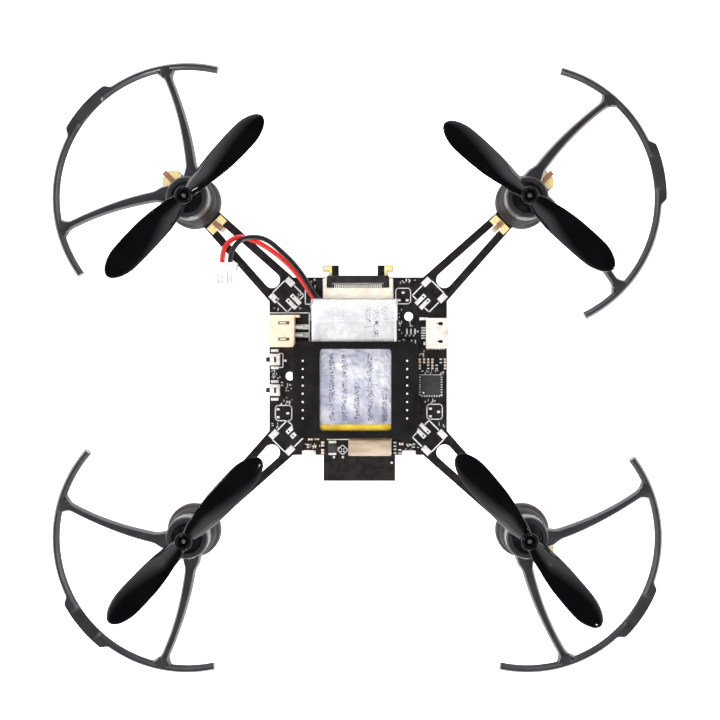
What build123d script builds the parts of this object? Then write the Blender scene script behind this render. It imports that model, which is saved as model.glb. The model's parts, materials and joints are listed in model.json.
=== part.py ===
from build123d import *
import os
from math import atan, cos, degrees, pi, radians, sin, tan

# Mini palm drone: a circuit board that is also the airframe, with four coreless
# motors in rubber grommets, two-blade propellers, curved guards and a battery
# held under a pin-header plate. Millimetres. +Z is up and +Y is the front.
# The origin is on the ground under the board's centre.

os.makedirs("parts", exist_ok=True)

# ---- driving dimensions ----
board_side = 44.4
board_thickness = 1.6
board_top = 9.6
motor_offset = 41.0
motor_length = 20.0
motor_radius = 4.25
shaft_radius = 0.5
running_gap = 0.05

ring_radius = 6.7
ring_hole_radius = 5.2
arm_root_width = 8.6
arm_tip_width = 5.1
slot_root_radius = 2.0
slot_tip_radius = 0.85
tip_reach = 9.8
tip_width = 5.5
pad_thickness = 0.06

guard_radius = 32.6
guard_height = 2.8
guard_top = motor_length + 0.6
spoke_angle = 47.0
spoke_height = 2.4

prop_radius = 26.6
prop_pitch = 30.0
hub_radius = 2.15
hub_chamfer = 0.2
hub_bottom = 21.0
hub_top = 25.2
recess_radius = 1.45
recess_depth = 1.2
blade_height = 23.2

battery_width = 21.0
battery_length = 32.0
battery_bottom = 9.8
battery_top = 15.9
battery_x = -0.86
battery_y = 0.5

pin_pitch = 2.0
pins_per_row = 8
row_spacing = 25.4
rows_x = -0.6
rows_y = -5.4
pin_radius = 0.25
plate_width = 30.6
plate_length = 23.6
plate_bottom = 16.1
plate_thickness = 1.2

wire_diameter = 1.3
bend_share = 0.45

board_bottom = board_top - board_thickness
half_side = board_side / 2
motor_reach = motor_offset * 2**0.5

# Each corner: name, motor side in x and y, propeller angle, guard angle, and
# hand, which is +1 or -1 for the two mirrored propellers and guards.
corners = [
    ("front_left", -1, 1, 46.5, 146.0, 1),
    ("front_right", 1, 1, -41.5, 3.5, -1),
    ("rear_left", -1, -1, 46.5, 212.5, -1),
    ("rear_right", 1, -1, -49.5, -26.0, 1),
]


def motor_origin(side_x, side_y, height=0.0):
    """A point on one motor's axis."""
    return (side_x * motor_offset, side_y * motor_offset, height)


def arm_heading(side_x, side_y):
    """The direction of one arm, in degrees from +X."""
    return degrees(atan(side_y / side_x)) + (180 if side_x < 0 else 0)


def arm_plane(side_x, side_y, height):
    """A level plane at the board's centre, with its x along one arm."""
    return Plane(origin=(0, 0, height), x_dir=(side_x, side_y, 0), z_dir=(0, 0, 1))


def motor_plane(side_x, side_y, height, angle):
    """A level plane on a motor's axis, with its x turned to an angle."""
    turn = (cos(radians(angle)), sin(radians(angle)), 0)
    return Plane(origin=motor_origin(side_x, side_y, height), x_dir=turn, z_dir=(0, 0, 1))


def upright_plane(side_x, side_y):
    """A vertical plane through a motor's axis: x points outward, y points up."""
    outward = (side_x, side_y, 0)
    across = (side_y, -side_x, 0)
    return Plane(origin=motor_origin(side_x, side_y), x_dir=outward, z_dir=across)


def section_plane(side_x, side_y, angle):
    """A vertical plane through a motor's axis, with its x turned to an angle and y up."""
    turn = Vector(cos(radians(angle)), sin(radians(angle)), 0)
    facing = turn.cross(Vector(0, 0, 1))
    return Plane(origin=motor_origin(side_x, side_y), x_dir=turn, z_dir=facing)


def level_point(distance, angle):
    """A point in a guard's own level plane."""
    return (distance * cos(radians(angle)), distance * sin(radians(angle)))


def outline_face(plane, points):
    """A flat face with straight sides."""
    with BuildSketch(plane) as face:
        with BuildLine():
            Polyline(*points, close=True)
        make_face()
    return face.sketch


def box_between(low, high):
    """A plain block between two corners, to add or cut."""
    size = [b - a for a, b in zip(low, high)]
    centre = [(a + b) / 2 for a, b in zip(low, high)]
    return Pos(*centre) * Box(*size, mode=Mode.PRIVATE)


# ---- the board, which is also the four arms ----
arm_start = 26.0
arm_end = motor_reach - 4.0
slot_start = 30.5
slot_end = 49.5
tip_start = motor_reach + 4.0
tip_end = motor_reach + tip_reach
tip_chamfer = 1.4
arm_outline = [
    (arm_start, -arm_root_width / 2),
    (arm_end, -arm_tip_width / 2),
    (arm_end, arm_tip_width / 2),
    (arm_start, arm_root_width / 2),
]
tip_outline = [
    (tip_start, -tip_width / 2),
    (tip_end - tip_chamfer, -tip_width / 2),
    (tip_end, -tip_width / 2 + tip_chamfer),
    (tip_end, tip_width / 2 - tip_chamfer),
    (tip_end - tip_chamfer, tip_width / 2),
    (tip_start, tip_width / 2),
]
prong_inner = 4.85
prong_gold = 6.55
prong_outer = 7.4
hook_outer = 8.8
hook_low = 23.7
prong_front = 25.2
board_edge_overlap = 21.5
screw_hole_radius = 1.1
screw_holes = [(12.64, 12.44), (-17.1, -2.5)]

with BuildPart() as main_board:
    with BuildSketch(Plane.XY.offset(board_bottom)):
        Rectangle(board_side, board_side)
        for name, side_x, side_y, prop_angle, guard_angle, hand in corners:
            with Locations(Location((0, 0, 0), (0, 0, arm_heading(side_x, side_y)))):
                Polygon(*arm_outline, align=None)
                Polygon(*tip_outline, align=None)
            with Locations((side_x * motor_offset, side_y * motor_offset)):
                Circle(ring_radius)
        for side in (-1, 1):
            Polygon(
                (side * prong_inner, board_edge_overlap),
                (side * prong_outer, board_edge_overlap),
                (side * prong_outer, hook_low),
                (side * hook_outer, hook_low),
                (side * hook_outer, prong_front),
                (side * prong_inner, prong_front),
                align=None,
            )
    extrude(amount=board_thickness)
    for name, side_x, side_y, prop_angle, guard_angle, hand in corners:
        with BuildSketch(arm_plane(side_x, side_y, board_bottom)):
            with Locations((slot_start, 0)):
                Circle(slot_root_radius)
            with Locations((slot_end, 0)):
                Circle(slot_tip_radius)
            make_hull()
        extrude(amount=board_thickness, mode=Mode.SUBTRACT)
        with BuildSketch(Plane(origin=motor_origin(side_x, side_y, board_bottom))):
            Circle(ring_hole_radius)
        extrude(amount=board_thickness, mode=Mode.SUBTRACT)
    with BuildSketch(Plane.XY.offset(board_bottom)):
        with Locations(*screw_holes):
            Circle(screw_hole_radius)
    extrude(amount=board_thickness, mode=Mode.SUBTRACT)
main_board.part.label = "main_board"
export_step(main_board.part, "parts/main_board.step")

# ---- gold solder pads on the arms and on the front hooks ----
pad_inner_end = motor_reach - 9.1
pad_outer_end = motor_reach - 6.9
pad_half = 2.45
pad_margin = 0.15
tip_pad_start = motor_reach + 6.9
with BuildPart() as gold_pads:
    for name, side_x, side_y, prop_angle, guard_angle, hand in corners:
        with BuildSketch(arm_plane(side_x, side_y, board_top)):
            Polygon(
                (pad_inner_end, -pad_half),
                (pad_outer_end, -pad_half),
                (pad_outer_end, pad_half),
                (pad_inner_end, pad_half),
                align=None,
            )
            Polygon(
                (pad_inner_end, -slot_tip_radius),
                (slot_end, -slot_tip_radius),
                (slot_end, slot_tip_radius),
                (pad_inner_end, slot_tip_radius),
                align=None,
                mode=Mode.SUBTRACT,
            )
            with Locations((slot_end, 0)):
                Circle(slot_tip_radius, mode=Mode.SUBTRACT)
            Polygon(
                (tip_pad_start, -tip_width / 2 + pad_margin),
                (tip_end - tip_chamfer, -tip_width / 2 + pad_margin),
                (tip_end - pad_margin, -tip_width / 2 + tip_chamfer),
                (tip_end - pad_margin, tip_width / 2 - tip_chamfer),
                (tip_end - tip_chamfer, tip_width / 2 - pad_margin),
                (tip_pad_start, tip_width / 2 - pad_margin),
                align=None,
            )
        extrude(amount=pad_thickness)
    with BuildSketch(Plane.XY.offset(board_top)):
        for side in (-1, 1):
            Polygon(
                (side * prong_gold, half_side),
                (side * (prong_outer - pad_margin), half_side),
                (side * (prong_outer - pad_margin), hook_low + pad_margin),
                (side * (hook_outer - pad_margin), hook_low + pad_margin),
                (side * (hook_outer - pad_margin), prong_front - pad_margin),
                (side * prong_gold, prong_front - pad_margin),
                align=None,
            )
    extrude(amount=pad_thickness)
gold_pads.part.label = "gold_pads"
export_step(gold_pads.part, "parts/gold_pads.step")

# ---- motors, grommets, guards and propellers ----
can_bottom = 0.4
can_wall = 0.35
can_roof = 0.8
can_chamfer = 0.3
can_bore = motor_radius - can_wall
roof_inside = motor_length - can_roof
bearing_radius = shaft_radius + running_gap
cap_thickness = 1.8
cap_flange = 4.15
cap_chamfer = 0.2
notch_width = 1.5
notch_top = 1.6
lead_width = 1.3
lead_thickness = 0.25
lead_bend = 0.4
lead_exit = 1.0
lead_rise = 3.1
lead_pad_end = 7.1
slot_lead_reach = 9.5
tip_lead_reach = 10.6
magnet_radius = 2.35
magnet_bore = 0.75
magnet_bottom = 4.0
coil_outer = 3.55
coil_inner = 2.75
coil_bottom = 2.6
coil_floor = 3.4
coil_top = 17.0
commutator_radius = 1.0
commutator_bottom = 2.2
shaft_bottom = 0.6
shaft_top = 24.5

grommet_profile = [
    (motor_radius, 6.4),
    (6.0, 6.4),
    (6.3, 6.7),
    (6.3, board_bottom),
    (ring_hole_radius, board_bottom),
    (ring_hole_radius, board_top),
    (6.5, board_top),
    (6.5, 10.5),
    (6.2, 11.1),
    (5.5, 11.5),
    (5.3, 12.5),
    (5.0, 12.8),
    (motor_radius, 12.8),
]

collar_bottom = 15.4
collar_top = 20.5
collar_outer = 5.2
collar_chamfer = 0.4
lip_inner = 3.7
guard_bottom = guard_top - guard_height
rim_width = 1.85
rim_inner = guard_radius - rim_width
rim_middle = guard_radius - 0.85
rim_section = [
    (guard_radius, guard_top - 1.0),
    (guard_radius - 0.6, guard_top),
    (guard_radius - 1.1, guard_top),
    (rim_inner, guard_top - 1.0),
    (rim_inner, guard_top - 1.4),
    (guard_radius - 1.1, guard_bottom),
    (guard_radius - 0.6, guard_bottom),
    (guard_radius, guard_top - 1.8),
]
# where each open rim starts and ends, in degrees from its guard angle
rim_ends = {
    "front_left": (-69.5, 70.0),
    "front_right": (-67.5, 71.5),
    "rear_left": (-73.5, 69.5),
    "rear_right": (-76.0, 63.0),
}

# A spoke's centre line is an arc that runs beside the radius it ends on.
spoke_top = guard_top - 0.4
spoke_shift = 2.15
spoke_apex = 11.0
spoke_curve = 74.0
spoke_root = 3.0
spoke_middle = 2.35
spoke_end = 2.05
spoke_start_radius = 3.5
spoke_middle_radius = 18.0
foot_start = rim_inner - 2.1
foot_bend = rim_inner - 0.75
foot_bend_width = 3.9
foot_end_width = 5.7
block_width = 2.4

bumper_shift = 7.5
bumper_half_angle = 14.5
bumper_ramp = 3.3
bumper_depth = 0.95
bumper_radius = guard_radius + bumper_depth
scoop_half_angle = 7.5
scoop_edge = 0.35
scoop_profile = [
    (bumper_radius - scoop_edge, guard_top),
    (rim_inner, guard_top - 1.0),
    (rim_inner - 1.0, guard_top - 1.0),
    (rim_inner - 1.0, guard_top + 1.0),
    (bumper_radius - scoop_edge, guard_top + 1.0),
]

# Propeller stations: distance from the axis, chord, thickness, and how far the
# chord's middle lies behind the blade's axis.
blade_stations = [
    (1.6, 4.0, 1.5, 0.0),
    (4.0, 5.7, 1.25, 0.0),
    (8.0, 6.8, 1.0, 0.2),
    (12.5, 7.1, 0.85, 0.3),
    (17.0, 7.1, 0.7, 0.3),
    (21.0, 6.4, 0.6, 0.2),
    (24.3, 4.8, 0.5, 0.1),
    (26.0, 3.0, 0.4, 0.0),
    (prop_radius, 0.9, 0.25, 0.0),
]
root_twist = 34.0


def lead_face(plane, points):
    """The side view of a bent flat strip."""
    with BuildSketch(plane) as side_view:
        with BuildLine() as centre_line:
            FilletPolyline(*points, radius=lead_bend)
        trace(centre_line.line, line_width=lead_thickness)
    return side_view.sketch


def spoke_point(angle, hand, distance, to_left):
    """A point beside a spoke's bowed centre line, in the guard's own level plane."""
    shift = spoke_shift - (distance - spoke_apex) ** 2 / (2 * spoke_curve)
    along = Vector(cos(radians(angle)), sin(radians(angle)))
    across = Vector(-sin(radians(angle)), cos(radians(angle)))
    return along * distance + across * (to_left - hand * shift)


def blade_section(side_x, side_y, angle, hand, station):
    """One cross-section of a blade, on a plane square to the blade's axis."""
    distance, chord, thickness, sweep_back = station
    twist = min(root_twist, degrees(atan(prop_pitch / (2 * pi * distance))))
    along = Vector(cos(radians(angle)), sin(radians(angle)), 0)
    origin = Vector(*motor_origin(side_x, side_y, blade_height)) + along * distance
    rearward = Vector(0, 0, 1).cross(along) * hand
    square_plane = Plane(origin=origin, x_dir=rearward, z_dir=along)
    tilt = -twist * hand
    with BuildSketch(square_plane) as section:
        with Locations((sweep_back, 0)):
            Ellipse(chord / 2, thickness / 2, rotation=tilt)
    return section.sketch


for name, side_x, side_y, prop_angle, guard_angle, hand in corners:
    axis = Axis(motor_origin(side_x, side_y), (0, 0, 1))
    upright = upright_plane(side_x, side_y)

    # steel can, open below, with a bearing hole in its roof and two lead notches
    can_profile = [
        (bearing_radius, roof_inside),
        (can_bore, roof_inside),
        (can_bore, can_bottom),
        (motor_radius, can_bottom),
        (motor_radius, motor_length - can_chamfer),
        (motor_radius - can_chamfer, motor_length),
        (bearing_radius, motor_length),
    ]
    with BuildPart() as motor_can:
        revolve(outline_face(upright, can_profile), axis=axis)
        notch_angle = arm_heading(side_x, side_y)
        with BuildSketch(motor_plane(side_x, side_y, can_bottom, notch_angle)):
            Rectangle(2 * motor_radius + 1, notch_width)
        extrude(amount=notch_top - can_bottom, mode=Mode.SUBTRACT)
    motor_can.part.label = f"{name}_motor_can"
    export_step(motor_can.part, f"parts/{name}_motor_can.step")

    # plastic end cap with the lower bearing
    cap_profile = [
        (bearing_radius, 0),
        (cap_flange - cap_chamfer, 0),
        (cap_flange, cap_chamfer),
        (cap_flange, can_bottom),
        (can_bore, can_bottom),
        (can_bore, cap_thickness),
        (bearing_radius, cap_thickness),
    ]
    with BuildPart() as motor_cap:
        revolve(outline_face(upright, cap_profile), axis=axis)
    motor_cap.part.label = f"{name}_motor_cap"
    export_step(motor_cap.part, f"parts/{name}_motor_cap.step")

    # fixed magnet that hangs from the can's roof
    magnet_profile = [
        (magnet_bore, magnet_bottom),
        (magnet_radius, magnet_bottom),
        (magnet_radius, roof_inside),
        (magnet_bore, roof_inside),
    ]
    with BuildPart() as motor_magnet:
        revolve(outline_face(upright, magnet_profile), axis=axis)
    motor_magnet.part.label = f"{name}_motor_magnet"
    export_step(motor_magnet.part, f"parts/{name}_motor_magnet.step")

    # winding cup that turns between the magnet and the can
    coil_profile = [
        (shaft_radius, commutator_bottom),
        (commutator_radius, commutator_bottom),
        (commutator_radius, coil_bottom),
        (coil_outer, coil_bottom),
        (coil_outer, coil_top),
        (coil_inner, coil_top),
        (coil_inner, coil_floor),
        (shaft_radius, coil_floor),
    ]
    with BuildPart() as motor_coil:
        revolve(outline_face(upright, coil_profile), axis=axis)
    motor_coil.part.label = f"{name}_motor_coil"
    export_step(motor_coil.part, f"parts/{name}_motor_coil.step")

    with BuildPart() as shaft:
        with BuildSketch(Plane(origin=motor_origin(side_x, side_y, shaft_bottom))):
            Circle(shaft_radius)
        extrude(amount=shaft_top - shaft_bottom)
    shaft.part.label = f"{name}_shaft"
    export_step(shaft.part, f"parts/{name}_shaft.step")

    # rubber grommet that grips the board and the can
    with BuildPart() as grommet:
        revolve(outline_face(upright, grommet_profile), axis=axis)
    grommet.part.label = f"{name}_grommet"
    export_step(grommet.part, f"parts/{name}_grommet.step")

    # flat copper leads: one up through the arm's slot, one round the arm's tip
    lead_rest = board_top + pad_thickness + lead_thickness / 2
    slot_lead = [
        (-can_bore, lead_exit),
        (-slot_lead_reach, lead_rise),
        (-slot_lead_reach, lead_rest),
        (-lead_pad_end, lead_rest),
    ]
    tip_lead = [
        (can_bore, lead_exit),
        (tip_lead_reach, lead_rise),
        (tip_lead_reach, lead_rest),
        (lead_pad_end, lead_rest),
    ]
    with BuildPart() as motor_leads:
        extrude(lead_face(upright, slot_lead), amount=lead_width / 2, both=True)
        extrude(lead_face(upright, tip_lead), amount=lead_width / 2, both=True)
    motor_leads.part.label = f"{name}_motor_leads"
    export_step(motor_leads.part, f"parts/{name}_motor_leads.step")

    # guard: collar, two bowed spokes, and an open rim with an outer bumper
    guard_plane = motor_plane(side_x, side_y, guard_bottom, guard_angle)
    spoke_plane = motor_plane(side_x, side_y, spoke_top - spoke_height, guard_angle)
    bumper_start = -hand * bumper_shift - bumper_half_angle
    bumper_end = -hand * bumper_shift + bumper_half_angle
    rim_start, rim_end = rim_ends[name]
    rim_plane = section_plane(side_x, side_y, guard_angle + rim_start)
    scoop_start = -hand * bumper_shift - scoop_half_angle
    scoop_plane = section_plane(side_x, side_y, guard_angle + scoop_start)
    collar_profile = [
        (motor_radius, collar_bottom),
        (collar_outer, collar_bottom),
        (collar_outer, collar_top - collar_chamfer),
        (collar_outer - collar_chamfer, collar_top),
        (lip_inner, collar_top),
        (lip_inner, motor_length),
        (motor_radius, motor_length),
    ]
    with BuildPart() as guard:
        revolve(outline_face(rim_plane, rim_section), axis=axis, revolution_arc=rim_end - rim_start)
        with BuildSketch(guard_plane):
            with BuildLine():
                outer = CenterArc(
                    (0, 0),
                    bumper_radius,
                    bumper_start + bumper_ramp,
                    bumper_end - bumper_start - 2 * bumper_ramp,
                )
                inner = CenterArc((0, 0), rim_middle, bumper_start, bumper_end - bumper_start)
                Polyline(inner @ 0, level_point(guard_radius, bumper_start), outer @ 0)
                Polyline(inner @ 1, level_point(guard_radius, bumper_end), outer @ 1)
            make_face()
        extrude(amount=guard_height)
        scoop = revolve(
            outline_face(scoop_plane, scoop_profile),
            axis=axis,
            revolution_arc=2 * scoop_half_angle,
            mode=Mode.PRIVATE,
        )
        add(scoop, mode=Mode.SUBTRACT)
        for angle in (-spoke_angle, spoke_angle):
            with BuildSketch(spoke_plane):
                with BuildLine():
                    left_side = ThreePointArc(
                        spoke_point(angle, hand, spoke_start_radius, spoke_root / 2),
                        spoke_point(angle, hand, spoke_middle_radius, spoke_middle / 2),
                        spoke_point(angle, hand, rim_middle, spoke_end / 2),
                    )
                    right_side = ThreePointArc(
                        spoke_point(angle, hand, spoke_start_radius, -spoke_root / 2),
                        spoke_point(angle, hand, spoke_middle_radius, -spoke_middle / 2),
                        spoke_point(angle, hand, rim_middle, -spoke_end / 2),
                    )
                    Line(left_side @ 0, right_side @ 0)
                    Line(left_side @ 1, right_side @ 1)
                make_face()
                with BuildLine():
                    Polyline(
                        spoke_point(angle, hand, foot_start, -spoke_end / 2),
                        spoke_point(angle, hand, foot_start, spoke_end / 2),
                        spoke_point(angle, hand, foot_bend, foot_bend_width / 2),
                        spoke_point(angle, hand, rim_middle, foot_end_width / 2),
                        spoke_point(angle, hand, rim_middle, -foot_end_width / 2),
                        spoke_point(angle, hand, foot_bend, -foot_bend_width / 2),
                        close=True,
                    )
                make_face()
            extrude(amount=spoke_height)
            with BuildSketch(guard_plane):
                with BuildLine():
                    Polyline(
                        spoke_point(angle, hand, foot_start, -block_width / 2),
                        spoke_point(angle, hand, foot_start, block_width / 2),
                        spoke_point(angle, hand, rim_middle, block_width / 2),
                        spoke_point(angle, hand, rim_middle, -block_width / 2),
                        close=True,
                    )
                make_face()
            extrude(amount=guard_height)
        with Locations(motor_origin(side_x, side_y, motor_length)):
            Cylinder(
                motor_radius,
                motor_length - collar_bottom,
                align=(Align.CENTER, Align.CENTER, Align.MAX),
                mode=Mode.SUBTRACT,
            )
            Cylinder(
                lip_inner,
                guard_height,
                align=(Align.CENTER, Align.CENTER, Align.MIN),
                mode=Mode.SUBTRACT,
            )
        revolve(outline_face(upright, collar_profile), axis=axis)
    guard.part.label = f"{name}_guard"
    export_step(guard.part, f"parts/{name}_guard.step")

    # two-blade propeller pressed on the shaft
    hub_profile = [
        (shaft_radius, hub_bottom),
        (hub_radius - hub_chamfer, hub_bottom),
        (hub_radius, hub_bottom + hub_chamfer),
        (hub_radius, hub_top - hub_chamfer),
        (hub_radius - hub_chamfer, hub_top),
        (recess_radius, hub_top),
        (recess_radius, hub_top - recess_depth),
        (shaft_radius, hub_top - recess_depth),
    ]
    with BuildPart() as prop:
        for blade_angle in (prop_angle, prop_angle + 180):
            sections = [
                blade_section(side_x, side_y, blade_angle, hand, station)
                for station in blade_stations
            ]
            loft(sections)
        with BuildSketch(Plane(origin=motor_origin(side_x, side_y, hub_bottom))):
            Circle((shaft_radius + hub_radius) / 2)
        extrude(amount=hub_top - hub_bottom, mode=Mode.SUBTRACT)
        revolve(outline_face(upright, hub_profile), axis=axis)
    prop.part.label = f"{name}_prop"
    export_step(prop.part, f"parts/{name}_prop.step")

# ---- battery, its tape and the header plate that holds it ----
pouch_round = 1.6
with BuildPart() as battery:
    with BuildSketch(Plane.XY.offset(battery_bottom)):
        with Locations((battery_x, battery_y)):
            Rectangle(battery_width, battery_length)
    extrude(amount=battery_top - battery_bottom)
    fillet(battery.edges().filter_by(Axis.Y), radius=pouch_round)
battery.part.label = "battery"
export_step(battery.part, "parts/battery.step")

tape_width = 18.0
tape_reach = 1.5
tape_thickness = 0.12
tape_bottom = battery_bottom + 2
tape_back = battery_y - battery_length / 2
with BuildPart() as battery_tape:
    with BuildSketch(Plane.YZ.offset(battery_x - tape_width / 2)):
        with BuildLine():
            Polyline(
                (tape_back, tape_bottom),
                (tape_back, battery_top),
                (tape_back + tape_reach, battery_top),
                (tape_back + tape_reach, battery_top + tape_thickness),
                (tape_back - tape_thickness, battery_top + tape_thickness),
                (tape_back - tape_thickness, tape_bottom),
                close=True,
            )
        make_face()
    extrude(amount=tape_width)
battery_tape.part.label = "battery_tape"
export_step(battery_tape.part, "parts/battery_tape.step")

row_length = pin_pitch * pins_per_row
socket_height = 4.3
strip_height = 1.5
strip_bottom = plate_bottom - strip_height
window_width = 17.4
window_length = 19.9
window_corner = 0.8
plate_x = -0.5
plate_y = -5.5

with BuildPart() as header_sockets:
    with BuildSketch(Plane.XY.offset(board_top)):
        with Locations((rows_x, rows_y)):
            with GridLocations(row_spacing, 0, 2, 1):
                Rectangle(pin_pitch, row_length)
            with GridLocations(row_spacing, pin_pitch, 2, pins_per_row):
                Circle(pin_radius, mode=Mode.SUBTRACT)
    extrude(amount=socket_height)
header_sockets.part.label = "header_sockets"
export_step(header_sockets.part, "parts/header_sockets.step")

with BuildPart() as header_strips:
    with BuildSketch(Plane.XY.offset(strip_bottom)):
        with Locations((rows_x, rows_y)):
            with GridLocations(row_spacing, 0, 2, 1):
                Rectangle(pin_pitch, row_length)
            with GridLocations(row_spacing, pin_pitch, 2, pins_per_row):
                Circle(pin_radius, mode=Mode.SUBTRACT)
    extrude(amount=strip_height)
header_strips.part.label = "header_strips"
export_step(header_strips.part, "parts/header_strips.step")

pin_clearance = 0.6
pin_standout = 0.25
pin_bottom = board_top + pin_clearance
pin_top = plate_bottom + plate_thickness + pin_standout
with BuildPart() as header_pins:
    with BuildSketch(Plane.XY.offset(pin_bottom)):
        with Locations((rows_x, rows_y)):
            with GridLocations(row_spacing, pin_pitch, 2, pins_per_row):
                Circle(pin_radius)
    extrude(amount=pin_top - pin_bottom)
header_pins.part.label = "header_pins"
export_step(header_pins.part, "parts/header_pins.step")

plate_front_corner = 2.0
plate_rear_corner = 3.2
with BuildPart() as holder_plate:
    with BuildSketch(Plane.XY.offset(plate_bottom)) as plate_outline:
        with Locations((plate_x, plate_y)):
            Rectangle(plate_width, plate_length)
        fillet(plate_outline.vertices().group_by(Axis.Y)[-1], radius=plate_front_corner)
        fillet(plate_outline.vertices().group_by(Axis.Y)[0], radius=plate_rear_corner)
        with Locations((plate_x, plate_y)):
            RectangleRounded(window_width, window_length, window_corner, mode=Mode.SUBTRACT)
        with Locations((rows_x, rows_y)):
            with GridLocations(row_spacing, pin_pitch, 2, pins_per_row):
                Circle(pin_radius, mode=Mode.SUBTRACT)
    extrude(amount=plate_thickness)
holder_plate.part.label = "holder_plate"
export_step(holder_plate.part, "parts/holder_plate.step")

# ---- battery socket, side entry, open to the left ----
socket_left = -21.6
socket_right = -15.6
socket_y = 8.84
socket_width = 7.9
socket_top = board_top + 5.0
cavity_width = 6.1
cavity_low = board_top + 0.8
cavity_high = board_top + 4.4
contact_pitch = 2.0
contact_half = 0.25
contact_height = board_top + 2.4
contact_left = -20.6
leg_right = -12.6
leg_width = 0.5
foot_length = 1.4
socket_back_wall = 1.2
slot_left = -19.6
slot_right = -16.8
slot_half_width = 0.4
with BuildPart() as power_socket:
    add(
        box_between(
            (socket_left, socket_y - socket_width / 2, board_top),
            (socket_right, socket_y + socket_width / 2, socket_top),
        )
    )
    add(
        box_between(
            (socket_left - 1, socket_y - cavity_width / 2, cavity_low),
            (socket_right - socket_back_wall, socket_y + cavity_width / 2, cavity_high),
        ),
        mode=Mode.SUBTRACT,
    )
    for side in (-1, 1):
        contact_y = socket_y + side * contact_pitch / 2
        slot_y = socket_y + side * contact_pitch
        add(
            box_between(
                (slot_left, slot_y - slot_half_width, contact_height),
                (slot_right, slot_y + slot_half_width, socket_top + 1),
            ),
            mode=Mode.SUBTRACT,
        )
        add(
            box_between(
                (socket_right - 2, contact_y - contact_half, contact_height - contact_half),
                (socket_right + 1, contact_y + contact_half, contact_height + contact_half),
            ),
            mode=Mode.SUBTRACT,
        )
power_socket.part.label = "power_socket"
export_step(power_socket.part, "parts/power_socket.step")

with BuildPart() as power_pins:
    for side in (-1, 1):
        contact_y = socket_y + side * contact_pitch / 2
        with BuildSketch(Plane.XZ.offset(-(contact_y + contact_half))):
            with BuildLine():
                Polyline(
                    (contact_left, contact_height - contact_half),
                    (leg_right - foot_length, contact_height - contact_half),
                    (leg_right - foot_length, board_top),
                    (leg_right, board_top),
                    (leg_right, board_top + leg_width),
                    (leg_right - foot_length + leg_width, board_top + leg_width),
                    (leg_right - foot_length + leg_width, contact_height + contact_half),
                    (contact_left, contact_height + contact_half),
                    close=True,
                )
            make_face()
        extrude(amount=2 * contact_half)
power_pins.part.label = "power_pins"
export_step(power_pins.part, "parts/power_pins.step")

# ---- micro USB socket, open to the right ----
usb_left = 16.9
usb_right = 22.5
usb_y = 8.3
usb_width = 7.5
usb_height = 2.6
usb_sheet = 0.3
usb_corner = 0.5
usb_back = 17.6
usb_bottom = board_top
tongue_half = 1.9
tongue_low = board_top + 1.2
tongue_high = board_top + 1.8
tongue_right = 21.9
with BuildPart() as usb_shell:
    add(
        box_between(
            (usb_left, usb_y - usb_width / 2, usb_bottom),
            (usb_right, usb_y + usb_width / 2, usb_bottom + usb_height),
        )
    )
    fillet(usb_shell.edges().filter_by(Axis.X), radius=usb_corner)
    add(
        box_between(
            (usb_left - 1, usb_y - usb_width / 2 + usb_sheet, usb_bottom + usb_sheet),
            (usb_right + 1, usb_y + usb_width / 2 - usb_sheet, usb_bottom + usb_height - usb_sheet),
        ),
        mode=Mode.SUBTRACT,
    )
usb_shell.part.label = "usb_shell"
export_step(usb_shell.part, "parts/usb_shell.step")

with BuildPart() as usb_tongue:
    add(
        box_between(
            (usb_left, usb_y - usb_width / 2 + usb_sheet, usb_bottom + usb_sheet),
            (usb_back, usb_y + usb_width / 2 - usb_sheet, usb_bottom + usb_height - usb_sheet),
        )
    )
    add(
        box_between(
            (usb_left, usb_y - tongue_half, tongue_low),
            (tongue_right, usb_y + tongue_half, tongue_high),
        )
    )
usb_tongue.part.label = "usb_tongue"
export_step(usb_tongue.part, "parts/usb_tongue.step")

# ---- flat-cable socket at the front edge, with a flip latch ----
fpc_half = 8.6
fpc_wall = 0.8
fpc_back = 16.9
fpc_roof_front = 19.5
fpc_front = 21.9
fpc_top = board_top + 2.0
fpc_floor = board_top + 0.4
latch_axis_y = 20.2
latch_axis_z = board_top + 1.3
latch_pin_radius = 0.25
latch_half = fpc_half - fpc_wall - 0.1
latch_thickness = 1.0
latch_near = 20.8
latch_far = 22.6
latch_arm = 1.3
pin_length = 0.55
pin_seat = 0.6
throat_wall = 1.6
throat_top = board_top + 1.4
contact_count = 24
contact_spacing = 0.5
strip_half = 0.11
strip_thick = 0.18
strip_front = 20.6
with BuildPart() as fpc_housing:
    add(box_between((-fpc_half, fpc_back, board_top), (fpc_half, fpc_front, fpc_top)))
    add(
        box_between(
            (-fpc_half + fpc_wall, fpc_roof_front, fpc_floor),
            (fpc_half - fpc_wall, fpc_front + 1, fpc_top + 1),
        ),
        mode=Mode.SUBTRACT,
    )
    add(
        box_between(
            (-fpc_half + throat_wall, fpc_back + 1, fpc_floor),
            (fpc_half - throat_wall, fpc_front, throat_top),
        ),
        mode=Mode.SUBTRACT,
    )
    with BuildSketch(Plane.YZ.offset(-latch_half - pin_seat)):
        with Locations((latch_axis_y, latch_axis_z)):
            Circle(latch_pin_radius + running_gap)
    extrude(amount=2 * (latch_half + pin_seat), mode=Mode.SUBTRACT)
fpc_housing.part.label = "fpc_housing"
export_step(fpc_housing.part, "parts/fpc_housing.step")

with BuildPart() as fpc_contacts:
    for index in range(contact_count):
        contact_x = (index - (contact_count - 1) / 2) * contact_spacing
        add(
            box_between(
                (contact_x - strip_half, fpc_back + 1, fpc_floor),
                (contact_x + strip_half, strip_front, fpc_floor + strip_thick),
            )
        )
fpc_contacts.part.label = "fpc_contacts"
export_step(fpc_contacts.part, "parts/fpc_contacts.step")

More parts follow.
